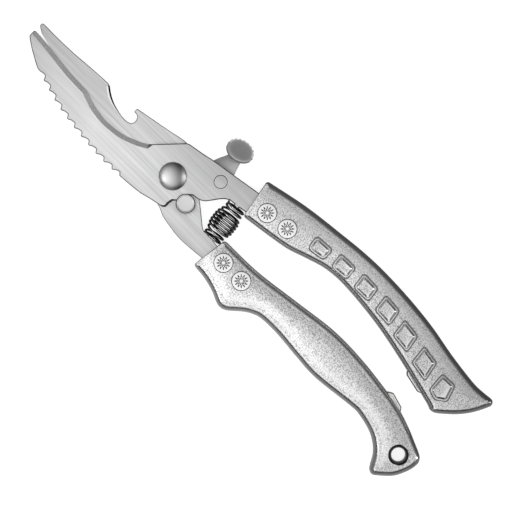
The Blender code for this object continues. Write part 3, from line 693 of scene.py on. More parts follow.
def rear_blade():
    """The lower plate: cutting edge, bone notch, slot for the lock's catch, shank and tang."""
    edge = smooth([(80.6, -3.0), (70.0, -0.3), (55.0, 2.7), (40.0, 5.7), (25.0, 8.6), (15.0, 10.6)])
    hub = smooth([(15.0, 10.6), (8.0, 12.0), (0.0, 12.7), (-4.6, 13.2), (-8.8, 15.0), (-15.0, 16.2),
                  (-20.6, 16.8), (-26.6, 16.5), (-32.7, 15.9)])
    tang = smooth([(-32.7, 15.9), (-44.0, 15.7), (-56.0, 15.4), (-60.6, 11.2), (-56.0, 6.8),
                   (-44.0, 6.6), (-34.3, 7.6)])
    spring_nub = [(-31.6, 7.4), (-31.5, 6.9), (-28.9, 6.6), (-28.6, 7.1)]
    throat = smooth([(-27.1, 7.1), (-24.7, 6.7), (-19.2, 2.3), (-15.1, -0.9), (-12.8, -2.4)])
    out = polar(1.0, 251.0)
    side = Vector((-out.y, out.x)) * 1.4
    rim = arc((0, 0), 12.2, 194.0, 243.5, 24)
    slot = [out * 12.12 - side, out * 8.5 - side, out * 8.5 + side, out * 12.12 + side]
    beyond = arc((0, 0), 12.2, 258.5, 272.0, 6)
    shoulder = smooth([(2.4, -12.9), (6.4, -14.3), (15.8, -12.5), (31.1, -9.7)])
    hook = smooth([(31.1, -9.7), (31.2, -8.0), (30.1, -7.7), (28.7, -7.2), (27.9, -5.2), (28.6, -3.4),
                   (30.6, -2.6)])
    bone_notch = smooth([(33.6, -2.7), (36.0, -3.2), (39.0, -4.0), (41.6, -5.1), (44.0, -6.5),
                         (46.3, -8.2)])
    back = smooth([(47.6, -8.6), (56.9, -8.1), (66.8, -7.3), (77.3, -7.0), (84.2, -7.1), (85.4, -6.6),
                   (85.3, -5.3), (82.8, -3.7)])
    lead = join(hub, tang, spring_nub, throat, rim, slot, beyond, shoulder, hook)[1:]
    whole = edge + lead + bone_notch + back
    way = normals(whole)
    a, b = len(edge), len(edge) + len(lead)
    notch_end = b + len(bone_notch)
    ways = (normals(edge, False), way[a:b], normals(bone_notch, False), way[notch_end:])

    def outline(bevel, inset, notch):
        """The taper makes the notch's sharpened strip fade out towards the hook."""
        last = len(bone_notch) - 1
        taper = [min(1.0, 0.25 + 1.1 * i / last) for i in range(last + 1)]
        widths = ([bevel] * a, [inset] * (b - a), [notch * t for t in taper], [inset] * len(back))
        runs = (edge, lead, bone_notch, back)
        return [p + n * w for run, ns, ws in zip(runs, ways, widths) for p, n, w in zip(run, ns, ws)]

    holes = [PIVOT_HOLE, (STUD_AXIS, 2.1, 40)]
    c = BROKEN_EDGE
    land = REAR_TOP - 1.1
    slope = BEVEL_WIDTH / (land - REAR_BOTTOM)
    layers = [(REAR_BOTTOM, outline(BEVEL_WIDTH, c, 0), HOLE_BREAK),
              (REAR_BOTTOM + c, outline(BEVEL_WIDTH - c * slope, 0, 0), 0),
              (land, outline(0, 0, 0), 0),
              (REAR_TOP - c, outline(0, 0, 0.5), 0),
              (REAR_TOP - 0.04, outline(0, c - 0.03, 0.7), 0.1),
              (REAR_TOP, outline(0, c, 1.4), HOLE_BREAK)]

    def strip(mark, first, end):
        """A mark for the part of the outline between two of its points."""
        return lambda i: mark if first <= i < end - 1 else 0

    # the sharpened strip is painted near-black as shade, and the lip beside it painted bright as a
    # highlight
    ground, sharpened, lip = strip(1, 0, a), strip(2, b, notch_end), strip(3, b, notch_end)
    stand_for("rear_blade", REAR, "rear_blade_plate",
              stacked(holes, layers, [ground, ground, sharpened, sharpened, lip]),
              [REAR_STEEL, GROUND, SHADED_GROUND, HIGHLIGHT_STEEL])


# ---------------------------------------------------------------- turned pieces

def pivot():
    """Domed rivet with a flat rear head, and the washer under that head."""
    radius = (high("pivot_rivet").x - low("pivot_rivet").x) / 2
    base, top = FRONT_TOP + GAP, high("pivot_rivet").z
    back_r, back_top, shank_r, rim = 5.6, 2.4, 3.7, base + 0.45
    dome = [(radius * math.cos(t), rim + (top - rim) * math.sin(t)) for t in quarter(18)[1:-1]]
    back = rounded([(0.01, 0), (back_r, 0), (back_r, back_top), (shank_r, back_top), (shank_r, base),
                    (radius, base), (radius, rim)], 0.4)
    # the dome's outer rim is painted in shade
    shape = turned([(0, 0), *back[1:], *dome, (0, top)], count=128, dark_from=radius - 0.08)
    stand_for("pivot_rivet", FRONT, "pivot_rivet_polished", shape, [DOME])
    stand_for("pivot_washer", FRONT, "pivot_washer_turned",
              ring((0, 0), 4.0, 6.6, 2.7, 3.35), [WASHER])


def stop_stud():
    """Stud with a wide flat head, faintly dished inside a raised rim."""
    low_end, top = span("stop_stud")
    base = FRONT_TOP + GAP
    back_top, collar = REAR_BOTTOM - GAP, REAR_TOP + 0.1
    outer = rounded([(0, low_end), (3.0, low_end), (3.0, back_top), (1.8, back_top), (1.8, collar),
                     (2.2, collar), (2.2, base), (4.15, base), (4.15, top), (3.5, top),
                     (3.3, top - 0.12), (0, top - 0.14)], 0.3)
    # the head's rim is painted in shade, as a dark ring
    stand_for("stop_stud", REAR, "stop_stud_satin",
              turned(outer, STUD_AXIS, dark_from=3.7), [SATIN])


def lock_rivet():
    """Flush rivet that the lever turns on, and the wave washer between them."""
    low_end, top = span("lock_rivet")
    back, neck = low_end + 1.0, FRONT_TOP - 1.0
    profile = rounded([(0, low_end), (3.3, low_end), (3.3, back), (1.8, back), (1.8, neck), (2.75, neck),
                       (2.75, top), (0, top)], 0.16)
    stand_for("lock_rivet", FRONT, "lock_rivet_flush",
              turned(profile, LOCK_AXIS, 72), [FRONT_STEEL])
    stand_for("lock_spring_washer", FRONT, "lock_spring_washer_turned",
              ring(LOCK_AXIS, 2.1, 3.9, *span("lock_spring_washer")), [WASHER])


def rosette(centre):
    """Round rivet head with a plain rim and a sunburst of engraved strokes round a small boss."""
    top, under = high("upper_front_rivet_pin").z, HANDLE_TOP - 1.0
    head, boss, count = 4.02, 0.85, 168
    radii = [0.3, 0.55, 0.72, boss] + [0.95 + 0.1 * i for i in range(20)] + [3.0, 3.1, 3.5, 3.72]

    def depth(radius, angle):
        """How deep the engraving is, from 0 to 1."""
        if radius == boss:
            return 0.8
        # number of strokes, phase, inner end, outer end and half width
        rows = ((12, 0.0, 1.1, 1.8, 0.27), (12, 0.5, 1.9, 2.85, 0.34))
        for number, phase, start, end, width in rows:
            if start <= radius <= end:
                turn = (angle / (2 * math.pi) * number + phase + 0.5) % 1 - 0.5
                across = abs(turn) * 2 * math.pi / number * radius
                taper = 1 - 0.45 * (radius - start) / (end - start)
                if across < width * taper:
                    return 1 - (across / (width * taper)) ** 2
        return 0.0

    angles = [2 * math.pi * i / count for i in range(count)]
    # the engraved strokes and the boss's edge are painted in shade, as deep as they are cut
    grooves = [[depth(radius, angle) for angle in angles] for radius in radii]
    profile = []
    for radius, deep in zip(radii, grooves):
        crown = 0.12 * (1 - (radius / head) ** 2)
        profile.append((radius, [top - 0.12 + crown - 0.24 * d for d in deep]))
    profile += [(3.9, top - 0.14), (head, top - 0.3), (head, under), (2.0, under)]
    loops = circles(centre, profile, count)
    shape = Shape().skin(loops, grooves=grooves + [0.0] * 4).fan(loops[0], Vector((*centre, top)))
    return shape, loops[-1]


def handle_rivets(prefix, body, centres):
    """Rosette-headed pins and the headed tubes that they are driven into."""
    for place, centre in zip(("front", "rear"), centres):
        shape, neck = rosette(centre)
        shank = circles(centre, [(1.5, HANDLE_TOP - 1.1), (1.5, 3.3), (1.2, 3.0)], len(neck))
        shape.skin([neck] + shank).fan(shank[-1], Vector((*centre, 3.0)))
        stand_for(f"{prefix}_{place}_rivet_pin", body,
                  f"{prefix}_{place}_rivet_rosette", shape, [ROSETTE], 40)
        mouth = HANDLE_TOP - 1.5
        profile = rounded([(0, 0), (4.1, 0), (4.1, 1.0), (2.5, 1.0), (2.5, mouth), (1.8, mouth),
                           (1.8, 2.2), (0, 2.2)], 0.2)
        stand_for(f"{prefix}_{place}_rivet_tube", body,
                  f"{prefix}_{place}_rivet_tube_turned", turned(profile, centre, 72), [SATIN])


# ---------------------------------------------------------------- thumb lock

KNOB_CENTRE = Vector((-12.6, -27.9, 7.0))
KNOB_R = 6.35
KNOB_TILT = 43.0
LOBE_DEPTH = 0.9
KNOB_HALF = 0.85               # half the thickness of the knob's rim
LOCK_TURN = 19.0               # degrees from released to locked
HOOK_ANGLE, HOOK_REACH = 240.0, 12.6     # where the hook's tooth is when locked, about the main rivet
TO_SHANK = Vector((-0.165, 0.986, 0))    # from the knob towards the front plate's shank


def knob():
    """Dished round thumb piece with a scalloped outer rim, drawn flat and then tilted."""
    count, scallops = 342, 18
    away = math.atan2(-TO_SHANK.y, -TO_SHANK.x)

    def rim(radius):
        """A ring of points, more scalloped the nearer it is to the knob's edge."""
        points = []
        for i in range(count):
            angle = 2 * math.pi * i / count
            outer = min(1.0, 3.0 * max(0.0, math.cos(angle - away) + 0.3))
            wave = abs(math.sin(scallops * (angle - away) / 2)) ** 1.2 * LOBE_DEPTH * outer
            reach = radius - (LOBE_DEPTH * outer - wave) * (radius / KNOB_R) ** 5
            points.append(Vector((reach * math.cos(angle), reach * math.sin(angle))))
        return points

    half = KNOB_HALF
    profile = [(1.5, half - 0.42), (3.0, half - 0.36), (4.2, half - 0.24), (5.0, half - 0.1), (5.5, half),
               (5.85, half), (6.15, half - 0.1), (6.3, half - 0.3), (KNOB_R, half - 0.55),
               (KNOB_R, 0.0), (KNOB_R, -half + 0.5), (6.15, -half + 0.2), (5.8, -half), (3.0, -half)]
    loops = [at_height(rim(r), z) for r, z in profile]
    # the dish is painted in shade, most at its middle
    shape = Shape().skin(loops, grooves=[0.32, 0.3, 0.25, 0.15] + [0.0] * 10)
    shape.fan(loops[0], Vector((0, 0, half - 0.44)), 0.32)
    shape.fan(loops[-1], Vector((0, 0, -half)))
    for i, point in enumerate(shape.points):         # outer lobes away from the shank are painted bright as a highlight, the edge by the shank painted in shade
        if point.length > 5.4:
            near_shank = point.dot(TO_SHANK) > 0
            shape.grooves[i] = 0.45 if near_shank and point.length > 6.2 else 0.0
            shape.worn[i] = 0.0 if near_shank else 1.0
    tilt = Matrix.Rotation(math.radians(KNOB_TILT), 4, TO_SHANK.cross(Vector((0, 0, 1))))
    return shape.moved(Matrix.Translation(KNOB_CENTRE) @ tilt)


def turned_about(point, centre, angle):
    """Point turned about another, counter-clockwise."""
    return centre + Matrix.Rotation(math.radians(angle), 2) @ (Vector(point) - centre)


def lock_lever():
    """Hooked arm, boss and waisted stem under the front plate, with the knob on the stem's end."""
    tip, out = polar(HOOK_REACH, HOOK_ANGLE), polar(1.0, HOOK_ANGLE)
    side = Vector((-out.y, out.x)) * 0.9
    root = tip + out * 2.5
    locked = [tip + side, tip - side, root - side, LOCK_AXIS + Vector((1.9, 3.95))]
    hook = [turned_about(p, LOCK_AXIS, -LOCK_TURN) for p in locked]
    boss = arc(LOCK_AXIS, 4.4, 80, 220, 28)
    flare = smooth([(-18.3, -18.3), (-17.3, -20.9), (-16.6, -23.4), (-15.9, -25.6)])
    cap = arc((-13.3, -26.0), 2.55, 195, 350, 16)
    waist = smooth([(-10.75, -26.0), (-9.8, -22.6), (-8.4, -19.6), (-7.3, -16.7)])
    outline = join(hook, boss, flare, cap, waist)
    bottom, top = REAR_TOP - 2.2, REAR_TOP
    steps = ((bottom, 0.35), (bottom + 0.12, 0.12), (bottom + 0.4, 0), (top - 0.4, 0),
             (top - 0.12, 0.12), (top, 0.35))
    layers = [(height, offset(outline, inset), 0) for height, inset in steps]
    shape = stacked([(LOCK_AXIS, 2.1, 56)], layers)
    for i, point in enumerate(shape.points):         # painted shadow, darker towards the blades
        shape.grooves[i] = 0.2 + 0.3 * clamped((point.x + 17.0) / 8.0)
    thumb = knob()
    shape.add(thumb.points, thumb.faces, thumb.marks, thumb.grooves, thumb.worn)
    stand_for("lock_lever", LEVER, "lock_lever_formed", shape, [LEVER_STEEL], 40)


def lock_catch():
    """The hard key in the rear plate's rim keeps its CAD shape and takes a ground finish."""
    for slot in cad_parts["lock_catch"].material_slots:
        slot.material = GROUND


# ---------------------------------------------------------------- opening spring

SPRING_FROM = Vector((-28.4, -9.75, (FRONT_BOTTOM + FRONT_TOP) / 2))
SPRING_TO = Vector((-30.2, 6.9, (REAR_BOTTOM + REAR_TOP) / 2))
WIRE_R = 0.52


def opening_spring():
    """Barrel spring: a closed and an open small coil at each end, and close wide coils between them."""
    steps, sides = 40, 16                            # points a turn, and points round the wire
    end_r, barrel_r = 4.05, 5.45
    even_turns, closed_turns, end_turns, barrel_turns = 0.8, 0.9, 2.25, 5.5
    swell_turns = end_turns + 0.8                    # over which the end's radius grows to the barrel's
    closed_pitch, open_pitch = 1.1, 2.5
    turns = 2 * end_turns + barrel_turns
    axis = SPRING_TO - SPRING_FROM
    length = axis.length
    axis.normalize()
    across = axis.cross(Vector((0, 0, 1))).normalized()
    upward = across.cross(axis)
    end_height = closed_pitch * closed_turns + open_pitch * (end_turns - closed_turns)
    barrel_pitch = (length - 2 * end_height) / barrel_turns

    def outwards(turn):
        """Direction from the spring's axis after a number of turns."""
        angle = 2 * math.pi * turn
        return across * math.cos(angle) + upward * math.sin(angle)

    def centre(turn):
        """Middle of the wire after a number of turns."""
        near = min(turn, turns - turn)
        radius = end_r + (barrel_r - end_r) * eased(clamped((near - even_turns) / swell_turns))
        height = (closed_pitch * min(near, closed_turns)
                  + open_pitch * min(max(near - closed_turns, 0), end_turns - closed_turns)
                  + barrel_pitch * max(near - end_turns, 0))
        if turn > turns / 2:
            height = length - height
        return SPRING_FROM + axis * height + outwards(turn) * radius

    round_wire = [2 * math.pi * k / sides for k in range(sides)]
    loops, painted_highlights = [], []
    for i in range(int(turns * steps) + 1):
        here = centre(i / steps)
        ahead = (centre((i + 0.5) / steps) - centre((i - 0.5) / steps)).normalized()
        level = ahead.cross(axis).normalized()
        lift = level.cross(ahead)
        ways = [level * math.cos(t) + lift * math.sin(t) for t in round_wire]
        loops.append([here + way * WIRE_R for way in ways])
        # painted highlight along the outer crest of each coil, on its upper side
        facing = max(0.0, outwards(i / steps).z) ** 1.2
        painted_highlights += [facing * max(0.0, way.dot(outwards(i / steps))) ** 16 for way in ways]
    shape = Shape().skin(loops)
    shape.worn = painted_highlights
    for loop in (loops[0], loops[-1]):
        shape.fan(loop, sum(loop, Vector()) / sides)
    result = piece("opening_spring_wire", shape, [WIRE], 60)
    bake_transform(result)
    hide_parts("opening_spring")


# ---------------------------------------------------------------- handles

EDGE_ROUND = 3.0               # rounding along a handle's sides
END_ROUND = 0.5                # rounding at its front end, where the tang comes out
BACK_ROUND = 1.3
CROWN_REACH = 7.0
FRONT_STEPS = 14
CORNER_REACH = 1.5             # rounding of the front end's corners, seen from above
SHEEN_AWAY, SHEEN_WIDTH, SHEEN_MOST = 5.0, 1.5, 0.5   # stripe painted brighter and smoother as a highlight
GRID = 0.8                     # mesh spacing on the face
SLIVER = 0.002                 # square millimetres; a face this small lies along a straight edge
LANDING = 0.18                 # even strip between the rounding and the face's mesh
SEAT_R = 4.18
BACK_SEAT_R = 4.4
SEAT_DEPTH = 1.3


def cornered(corners, reach, steps=5):
    """A closed outline with each corner rounded over the same reach along its sides."""
    result = []
    for i, here in enumerate(corners):
        before, after = corners[i - 1], corners[(i + 1) % len(corners)]
        start = here + (before - here).normalized() * reach
        end = here + (after - here).normalized() * reach
        result += bend(start, here, end, steps)
    return result


def face_mesh(shape, rim, holes, height, rub_and_sheen):
    """Triangles over a face, on an even grid, between its rim and the holes' edges."""
    loops = [rim, *holes]
    fixed = [p for loop in loops for p in loop]
    edges, first = [], 0
    for loop in loops:
        edges += [(first + i, first + (i + 1) % len(loop)) for i in range(len(loop))]
        first += len(loop)
    low_x, high_x = min(p.x for p in rim), max(p.x for p in rim)
    low_y, high_y = min(p.y for p in rim), max(p.y for p in rim)
    grid = np.stack(np.meshgrid(np.arange(low_x, high_x, GRID), np.arange(low_y, high_y, GRID)), -1)
    grid[::2, :, 0] += GRID / 2
    grid = grid.reshape(-1, 2)
    keep = inside(grid, [p.xy for p in rim]) & (distance(grid, rim, True) > GRID * 0.6)
    for hole in holes:
        keep &= ~inside(grid, [p.xy for p in hole]) & (distance(grid, hole, True) > GRID * 0.45)
    flat = [p.xy for p in fixed] + [Vector(p) for p in grid[keep]]
    points, _, faces, origins, _, _ = delaunay_2d_cdt(flat, edges, [], 0, 1e-6, True)
    middles = np.array([sum((points[i] for i in face), Vector((0, 0))) / len(face) for face in faces])
    areas = np.array([abs((points[b] - points[a]).cross(points[c] - points[a])) / 2 for a, b, c in faces])
    chosen = inside(middles, [p.xy for p in rim]) & (areas > SLIVER)
    for hole in holes:
        chosen &= ~inside(middles, [p.xy for p in hole])
    heights = height([tuple(p) for p in points])
    for i, origin in enumerate(origins):
        if origin and origin[0] < len(fixed):
            heights[i] = fixed[origin[0]].z
    solid = [Vector((p.x, p.y, z)) for p, z in zip(points, heights)]
    shape.add(solid, [face for face, ok in zip(faces, chosen) if ok], worn=rub_and_sheen(points))


def seat(shape, centre, height):
    """Round recess for a rivet head in the face; returns its edge on the face."""
    edge = circle(centre, SEAT_R + 0.12, 64)
    base = HANDLE_TOP - SEAT_DEPTH
    loops = [at_height(edge, height(edge))]
    loops += circles(centre, [(SEAT_R, HANDLE_TOP - 0.22), (SEAT_R, base)], 64)
    # the recess is painted in shade, darkest at its floor
    shape.skin(loops, grooves=[0.0, 0.35, 1.0]).fan(loops[-1], Vector((*centre, base)), 1.0)
    return loops[0]


def back_seat(shape, centre):
    """Round recess for a tube head in the flat back; returns its edge."""
    profile = [(BACK_SEAT_R + 0.15, 0.0), (BACK_SEAT_R, 0.15), (BACK_SEAT_R, SEAT_DEPTH)]
    loops = circles(centre, profile, 64)
    # the recess is painted in shade, darkest at its floor
    shape.skin(loops, grooves=[0.0, 0.2, 1.0]).fan(loops[-1], Vector((*centre, SEAT_DEPTH)), 1.0)
    return loops[0]


def hang_hole(shape, centre, height):
    """Hole through the handle, flared at both ends; returns its edges on the face and on the back."""
    edge = circle(centre, 4.5, 72)
    profile = [(4.25, HANDLE_TOP - 0.5), (3.75, HANDLE_TOP - 1.4), (3.2, HANDLE_TOP - 2.8),
               (3.0, HANDLE_TOP - 4.0), (3.0, 3.2), (3.4, 1.6), (4.2, 0.3), (4.5, 0.0)]
    loops = [at_height(edge, height(edge))] + circles(centre, profile, 72)
    # the hole's wall is painted in shade
    shape.skin(loops, grooves=[0.2, 0.9, 1.0, 0.9, 0.6, 0.5, 0.5, 0.3, 0.0], worn=1.0)
    return loops[0], loops[-1]


def gem(shape, corners, reach, height):
    """Raised lozenge: a moat, a rim, an inner moat and a faceted table; returns its edge on the face."""
    corners = [Vector(p) for p in corners]
    edge = cornered(offset(corners, -0.65), reach + 0.35)
    face = height(edge)
    # inset, rise, painted shade and extra corner rounding
    profile = [(-0.5, -0.04, 0.1, 0.3), (-0.42, -0.18, 0.85, 0.25), (-0.15, -0.18, 0.85, 0.15),
               (-0.02, 0.05, 0.0, 0.1), (0.32, 0.12, 0.0, 0.0), (0.4, 0.03, 0.6, -0.1),
               (0.58, 0.03, 0.6, -0.2), (0.68, 0.1, 0.0, -0.4), (1.3, 0.34, 0.0, -0.8),
               (2.0, 0.35, 0.0, -1.0)]
    loops, level = [at_height(edge, face)], float(np.mean(face))
    for inset, rise, _, extra in profile:
        ring_points = cornered(offset(corners, inset), max(reach + extra, 0.12))
        loops.append(at_height(ring_points, min(level + rise, GEM_TOP - 0.02)))
    middle_point = sum(loops[-1], Vector()) / len(edge)
    worn = [0.0, 0.0, 0.0, 0.0, 0.6, 0.6, 0.0, 0.0]
    for loop in loops[8:]:                           # the table is smoother, and painted brighter towards the butt as a highlight
        worn.append([min(1.0, max(0.15, 0.5 + 0.3 * (middle_point.x - p.x))) for p in loop])
    shape.skin(loops, grooves=[0.0] + [groove for _, _, groove, _ in profile], worn=worn)
    shape.fan(loops[-1], middle_point)
    return loops[0]


def cast_handle(node, body, sides, rivets, crown, shine, gems=(), hang=None):
    """A cast handle, with its face raised by the crown from its sides to its middle.

    Its sides' outline runs from its front end, round its butt, and back. A stripe beside the run of
    points in shine is painted brighter and smoother as a highlight.
    """
    ends = (sides[-1], sides[0])
    sides = [p for p in sides if min((p - end).length for end in ends) > CORNER_REACH]
    turns = cornered([sides[-1], *ends, sides[0]], CORNER_REACH)[6:18]
    front = along([turns[5], turns[6]], FRONT_STEPS)
    outline = join(sides, turns[:5], front, turns[7:])
    first_front = len(sides) + 5
    share = np.clip(distance(flat_array(outline), front) / 2.0, 0, 1)
    radii = END_ROUND + (EDGE_ROUND - END_ROUND) * eased(share)
    way = normals(outline)

    def inset(widths):
        """The outline moved inwards by a width at each point."""
        return [p + n * float(w) for p, n, w in zip(outline, way, widths)]

    top = inset(radii)
    top_sides = top[first_front + FRONT_STEPS:] + top[:first_front]

    def height(points):
        """Height of the face, which falls off towards its sides."""
        near = 1 - np.clip(distance(flat_array(points), top_sides) / CROWN_REACH, 0, 1)
        return HANDLE_TOP - crown * near ** 2

    def rub_and_sheen(points):
        """How brightly and smoothly the face is painted as a highlight, most in the middle of the stripe.
        """
        away = distance(flat_array(points), shine)
        return list(SHEEN_MOST * np.exp(-((away - SHEEN_AWAY) / SHEEN_WIDTH) ** 2))

    heights = height(top)
    back = np.minimum(radii, BACK_ROUND)
    loops = []
    for turn in quarter(4):
        loops.append(at_height(inset(back * (1 - math.sin(turn))), back * (1 - math.cos(turn))))
    for turn in quarter(9):
        rise = heights - radii * (1 - math.sin(turn))
        loops.append(at_height(inset(radii * (1 - math.cos(turn))), rise))
    landing = inset(radii + LANDING)
    loops.append(at_height(landing, height(landing)))
    shape = Shape().skin(loops, worn=[1.0] * 10 + [0.9, 0.75, 0.5, 0.25, 0.0, 0.0])
    holes = [seat(shape, centre, height) for centre in rivets]
    holes += [gem(shape, corners, corner_reach, height) for corners, corner_reach in gems]
    back_holes = [back_seat(shape, centre) for centre in rivets]
    if hang:
        mouth, exit_edge = hang_hole(shape, Vector(hang), height)
        holes.append(mouth)
        back_holes.append(exit_edge)
    face_mesh(shape, loops[-1], holes, height, rub_and_sheen)
    shape.cap(loops[0], back_holes)
    stand_for(node, body, f"{node}_cast", shape, [CAST], 17)


def lozenges():
    """Seven lozenges along the grip, from square-cornered ones to leaning diamonds; the last is cut off."""
    spine = [(-66.1, -22.5), (-78.6, -24.0), (-91.5, -24.5), (-104.8, -24.1), (-117.9, -21.9),
             (-131.7, -19.4)]
    first = ((4.5, -2.6), (3.6, 3.4), (-4.2, 2.2), (-3.9, -3.1))
    last = ((4.7, -4.7), (3.8, 3.3), (-5.1, 4.8), (-3.4, -3.4))
    result = []
    for i, centre in enumerate(spine):
        share = i / (len(spine) - 1)
        corners = [Vector(centre) + Vector(a).lerp(Vector(b), share) for a, b in zip(first, last)]
        result.append((corners, 1.9 - 0.8 * share))
    end = ((4.2, -4.4), (3.6, 3.7), (-0.7, 5.1), (-4.8, 2.2), (-2.5, -4.7))
    result.append(([Vector((-144.9, -16.9)) + Vector(p) for p in end], 1.1))
    return result


def upper_handle():
    """The handle with the lozenges, and its pad."""
    inner = [(-33.2, -9.1), (-45.0, -10.7), (-54.6, -12.3), (-58.4, -13.3), (-65.1, -15.6), (-74.2, -18.2),
             (-85.5, -18.8), (-105.1, -16.9), (-124.1, -13.2), (-144.3, -8.3), (-147.4, -7.2),
             (-149.6, -7.5), (-152.3, -9.5), (-157.1, -14.0), (-161.1, -19.2)]
    butt = [(-164.2, -25.2), (-164.65, -26.9), (-164.0, -28.3), (-162.5, -28.8), (-158.0, -28.35)]
    outer = [(-152.0, -28.3), (-137.9, -30.1), (-122.9, -32.8), (-107.5, -34.4), (-92.0, -34.98),
             (-80.9, -34.6), (-70.4, -33.6), (-49.8, -31.1), (-29.8, -27.0)]
    cast_handle("upper_handle", FRONT, smooth(inner + butt + outer, 7), UPPER_RIVETS, 0.6, smooth(outer),
                lozenges())
    stop_pad("upper_stop_pad", FRONT, [(-129.1, -11.7), (-130.2, -10.5), (-138.5, -8.7), (-140.1, -9.6),
                                       (-140.5, -12.0), (-129.6, -14.4)])


def lower_handle():
    """The handle with the hanging hole, and its pad."""
    outer = [(-32.8, 20.4), (-39.9, 21.1), (-46.5, 22.8), (-50.6, 24.6), (-53.2, 25.2), (-56.4, 24.2),
             (-61.4, 19.9), (-65.0, 17.6), (-69.3, 16.2), (-78.4, 16.0), (-91.2, 17.1), (-103.3, 17.7),
             (-122.2, 15.6), (-128.1, 15.7), (-136.8, 18.0), (-143.0, 22.3)]
    butt = [(-146.6, 28.0), (-147.8, 29.3), (-149.3, 29.75), (-151.2, 28.6), (-156.4, 23.6), (-159.3, 17.6),
            (-160.05, 13.6), (-159.6, 11.4), (-157.8, 9.6)]
    inner = [(-152.5, 7.2), (-147.3, 5.0), (-139.3, 2.3), (-129.1, 0.3), (-112.2, -1.7), (-94.9, -2.0),
             (-74.5, 0.6), (-54.1, 3.2), (-34.9, 3.6)]
    cast_handle("lower_handle", REAR, smooth(outer + butt + inner, 7), LOWER_RIVETS, 0.8, smooth(outer),
                hang=(-151.5, 15.9))
    stop_pad("lower_stop_pad", REAR, [(-139.2, 2.0), (-138.2, 0.65), (-131.6, -1.2), (-129.4, 0.1),
                                      (-128.8, 3.2), (-138.4, 5.2)])


def stop_pad(node, body, corners):
    """Moulded pad that stands out of the handle's inner side, with softened edges."""
    corners = [Vector(p) for p in corners]
    edge, turns = 0.6, quarter(4)
    # the pad's rounded edges and the small groove on top are painted in shade
    profile = [(edge * (1 - math.sin(t)), PAD_BOTTOM + edge * (1 - math.cos(t)), 0.7) for t in turns]
    profile += [(edge * (1 - math.cos(t)), PAD_TOP - edge * (1 - math.sin(t)), groove)
                for t, groove in zip(turns, (0.9, 0.9, 0.9, 0.9, 0.0))]
    profile += [(0.95, PAD_TOP, 0.0), (1.07, PAD_TOP - 0.16, 0.8), (1.19, PAD_TOP, 0.0)]
    loops = [at_height(cornered(offset(corners, inset), 0.3), z) for inset, z, _ in profile]
    shape = Shape().skin(loops, grooves=[groove for _, _, groove in profile])
    shape.cap(loops[0])
    shape.cap(loops[-1])
    stand_for(node, body, f"{node}_moulded", shape, [PLASTIC])


# ---------------------------------------------------------------- floor, light and camera

FOOT_WAY = Vector((-0.35, 0.94, 0)).normalized()     # towards the light at the picture's foot
VIEW_CENTRE = Vector((-51.4, -1.04, 10.0))
VIEW_WIDTH = 221.0             # width of the picture at the view centre
VIEW_DISTANCE = 1600.0
WALL_R = 6500.0
SENSOR = 36.0
FLOOR = -0.05                  # the floor's height, a hair under the shears


def floor():
    """Plain pale disc, lit from below like a light table, which metal doesn't mirror."""
    loops = circles((0, 0), [(1500.0, FLOOR), (6000.0, FLOOR)], 96)
    shape = Shape().skin(loops).fan(loops[0], Vector((0, 0, FLOOR)))
    look, tree, shader = surface("pale studio floor", 0.0)
    feed(tree, shader, blend_colours(tree, noise(tree, 2), 0.40, 0.42))
    shader.inputs["Roughness"].default_value = 0.9
    shader.inputs["Emission Color"].default_value = (1, 1, 1, 1)
    shader.inputs["Emission Strength"].default_value = 0.80
    shader.inputs["Specular IOR Level"].default_value = 0.0
    made = piece("studio_floor", shape, [look])
    made.visible_glossy = False


def backdrop():
    """Pale far wall that only the camera sees."""
    shape = Shape().skin(circles((0, 0), [(WALL_R, -200.0), (WALL_R, 5000.0)], 64))
    look, tree, shader = surface("pale backdrop", 0.0)
    cloud = noise(tree, 0.4)
    feed(tree, shader, blend_colours(tree, cloud, 0.02, 0.03), glow=blend_colours(tree, cloud, 0.93, 0.96))
    shader.inputs["Emission Strength"].default_value = 1.0
    shader.inputs["Specular IOR Level"].default_value = 0.0
    made = piece("studio_backdrop", shape, [look])
    made.visible_glossy = made.visible_diffuse = made.visible_shadow = False


def lamp(name, toward, reach, width, height, power, glossy=True):
    """A soft area light, reach metres away in a direction from the view centre, facing it."""
    data = bpy.data.lights.new(name, "AREA")
    data.shape, data.size, data.size_y, data.energy = "RECTANGLE", width, height, power
    made, toward = placed(name, data), Vector(toward).normalized()
    made.location = VIEW_CENTRE * MM + toward * reach
    made.rotation_euler = toward.to_track_quat("Z", "Y").to_euler()
    made.visible_camera = False
    made.visible_glossy = glossy


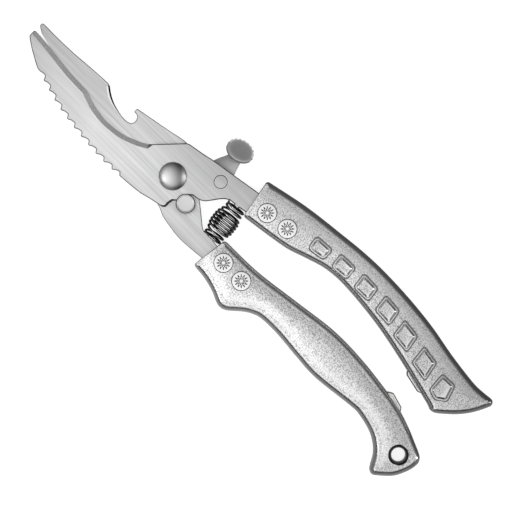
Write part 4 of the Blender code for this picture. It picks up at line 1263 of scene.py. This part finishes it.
def studio_dome():
    """Soft surround: bright overhead, dark low down and behind, with a dark band at the picture's foot."""
    world = bpy.data.worlds.new("studio dome")
    bpy.context.scene.world = world
    world.use_nodes = True
    tree = world.node_tree
    way = add_node(tree, "TexCoord").outputs["Generated"]
    lift = add_node(tree, "SeparateXYZ", None, {"Vector": way}).outputs["Z"]
    # grey level by height, from -1 straight down to 1 overhead
    levels = ((-0.7, 0.30), (-0.3, 0.22), (0.0, 0.15), (0.15, 0.20), (0.3, 0.25), (0.5, 0.26), (0.62, 0.32),
              (0.72, 0.6), (0.79, 0.93), (0.87, 1.07), (0.94, 1.14), (1.0, 1.12))
    around = grey_ramp(tree, ramp(tree, lift, -1.0, 1.0, 0.0, 1.0),
                       [((z + 1) / 2, level) for z, level in levels])
    lean = dot(tree, way, tuple(FOOT_WAY))
    behind = ramp(tree, lean, -0.55, 0.0, 0.2, 1.0)
    ahead = ramp(tree, lean, 0.42, 0.62, 0.0, 0.3)
    band = maths(tree, "MULTIPLY", ramp(tree, lift, 0.22, 0.36, 0, 1),
                 ramp(tree, lift, 0.69, 0.76, 0.95, 0))
    shade = maths(tree, "SUBTRACT", 1.0, maths(tree, "MULTIPLY", band, ramp(tree, lean, 0.1, 0.45, 0, 1)))
    flag = dot(tree, way, tuple((IMAGE_RIGHT * 0.62 + Vector((0, 0, 0.79))).normalized()))
    tilt = maths(tree, "MULTIPLY", maths(tree, "ADD", behind, ahead),
                 ramp(tree, flag, 0.93, 0.985, 1.0, 0.3))
    soft = maths(tree, "MULTIPLY", maths(tree, "MULTIPLY", around, tilt), shade)
    strength = maths(tree, "ADD", soft, ramp(tree, lean, -0.6, 0.0, 0.04, 0.0))
    shader = tree.nodes["Background"]
    shader.inputs["Color"].default_value = (1, 1, 1, 1)
    tree.links.new(strength, shader.inputs["Strength"])


def lights():
    """The surround, a fill that metal doesn't mirror, and two lamps for highlights."""
    studio_dome()
    left, right = -IMAGE_RIGHT, IMAGE_RIGHT
    lamp("overhead_fill", (0, 0, 1), 2.6, 3.0, 3.0, 40.0, glossy=False)
    lamp("dome_spark", left * 0.64 - IMAGE_UP * 0.14 + Vector((0, 0, 0.76)), 2.0, 0.5, 0.5, 3.0)
    lamp("right_strip", right * 0.88 - IMAGE_UP * 0.06 + Vector((0, 0, 0.47)), 2.2, 0.5, 2.2, 9.0)


def camera():
    """Camera straight above, turned as in the photo."""
    data = bpy.data.cameras.new("photo_camera")
    data.sensor_width = SENSOR
    data.lens = SENSOR * VIEW_DISTANCE / VIEW_WIDTH
    data.clip_start, data.clip_end = 0.1, 20.0
    made = placed("photo_camera", data)
    toward = Vector((0, 0, 1))
    turn = Matrix((IMAGE_RIGHT, IMAGE_UP, toward)).transposed().to_4x4()
    made.matrix_world = Matrix.Translation((VIEW_CENTRE + toward * VIEW_DISTANCE) * MM) @ turn
    bpy.context.scene.camera = made
    bpy.context.scene.view_settings.view_transform = "Standard"


def build():
    """Every piece of the shears."""
    front_blade()
    rear_blade()
    pivot()
    stop_stud()
    lock_rivet()
    lock_lever()
    lock_catch()
    opening_spring()
    handle_rivets("upper", FRONT, UPPER_RIVETS)
    handle_rivets("lower", REAR, LOWER_RIVETS)
    upper_handle()
    lower_handle()


camera()
lights()
floor()
backdrop()
build()
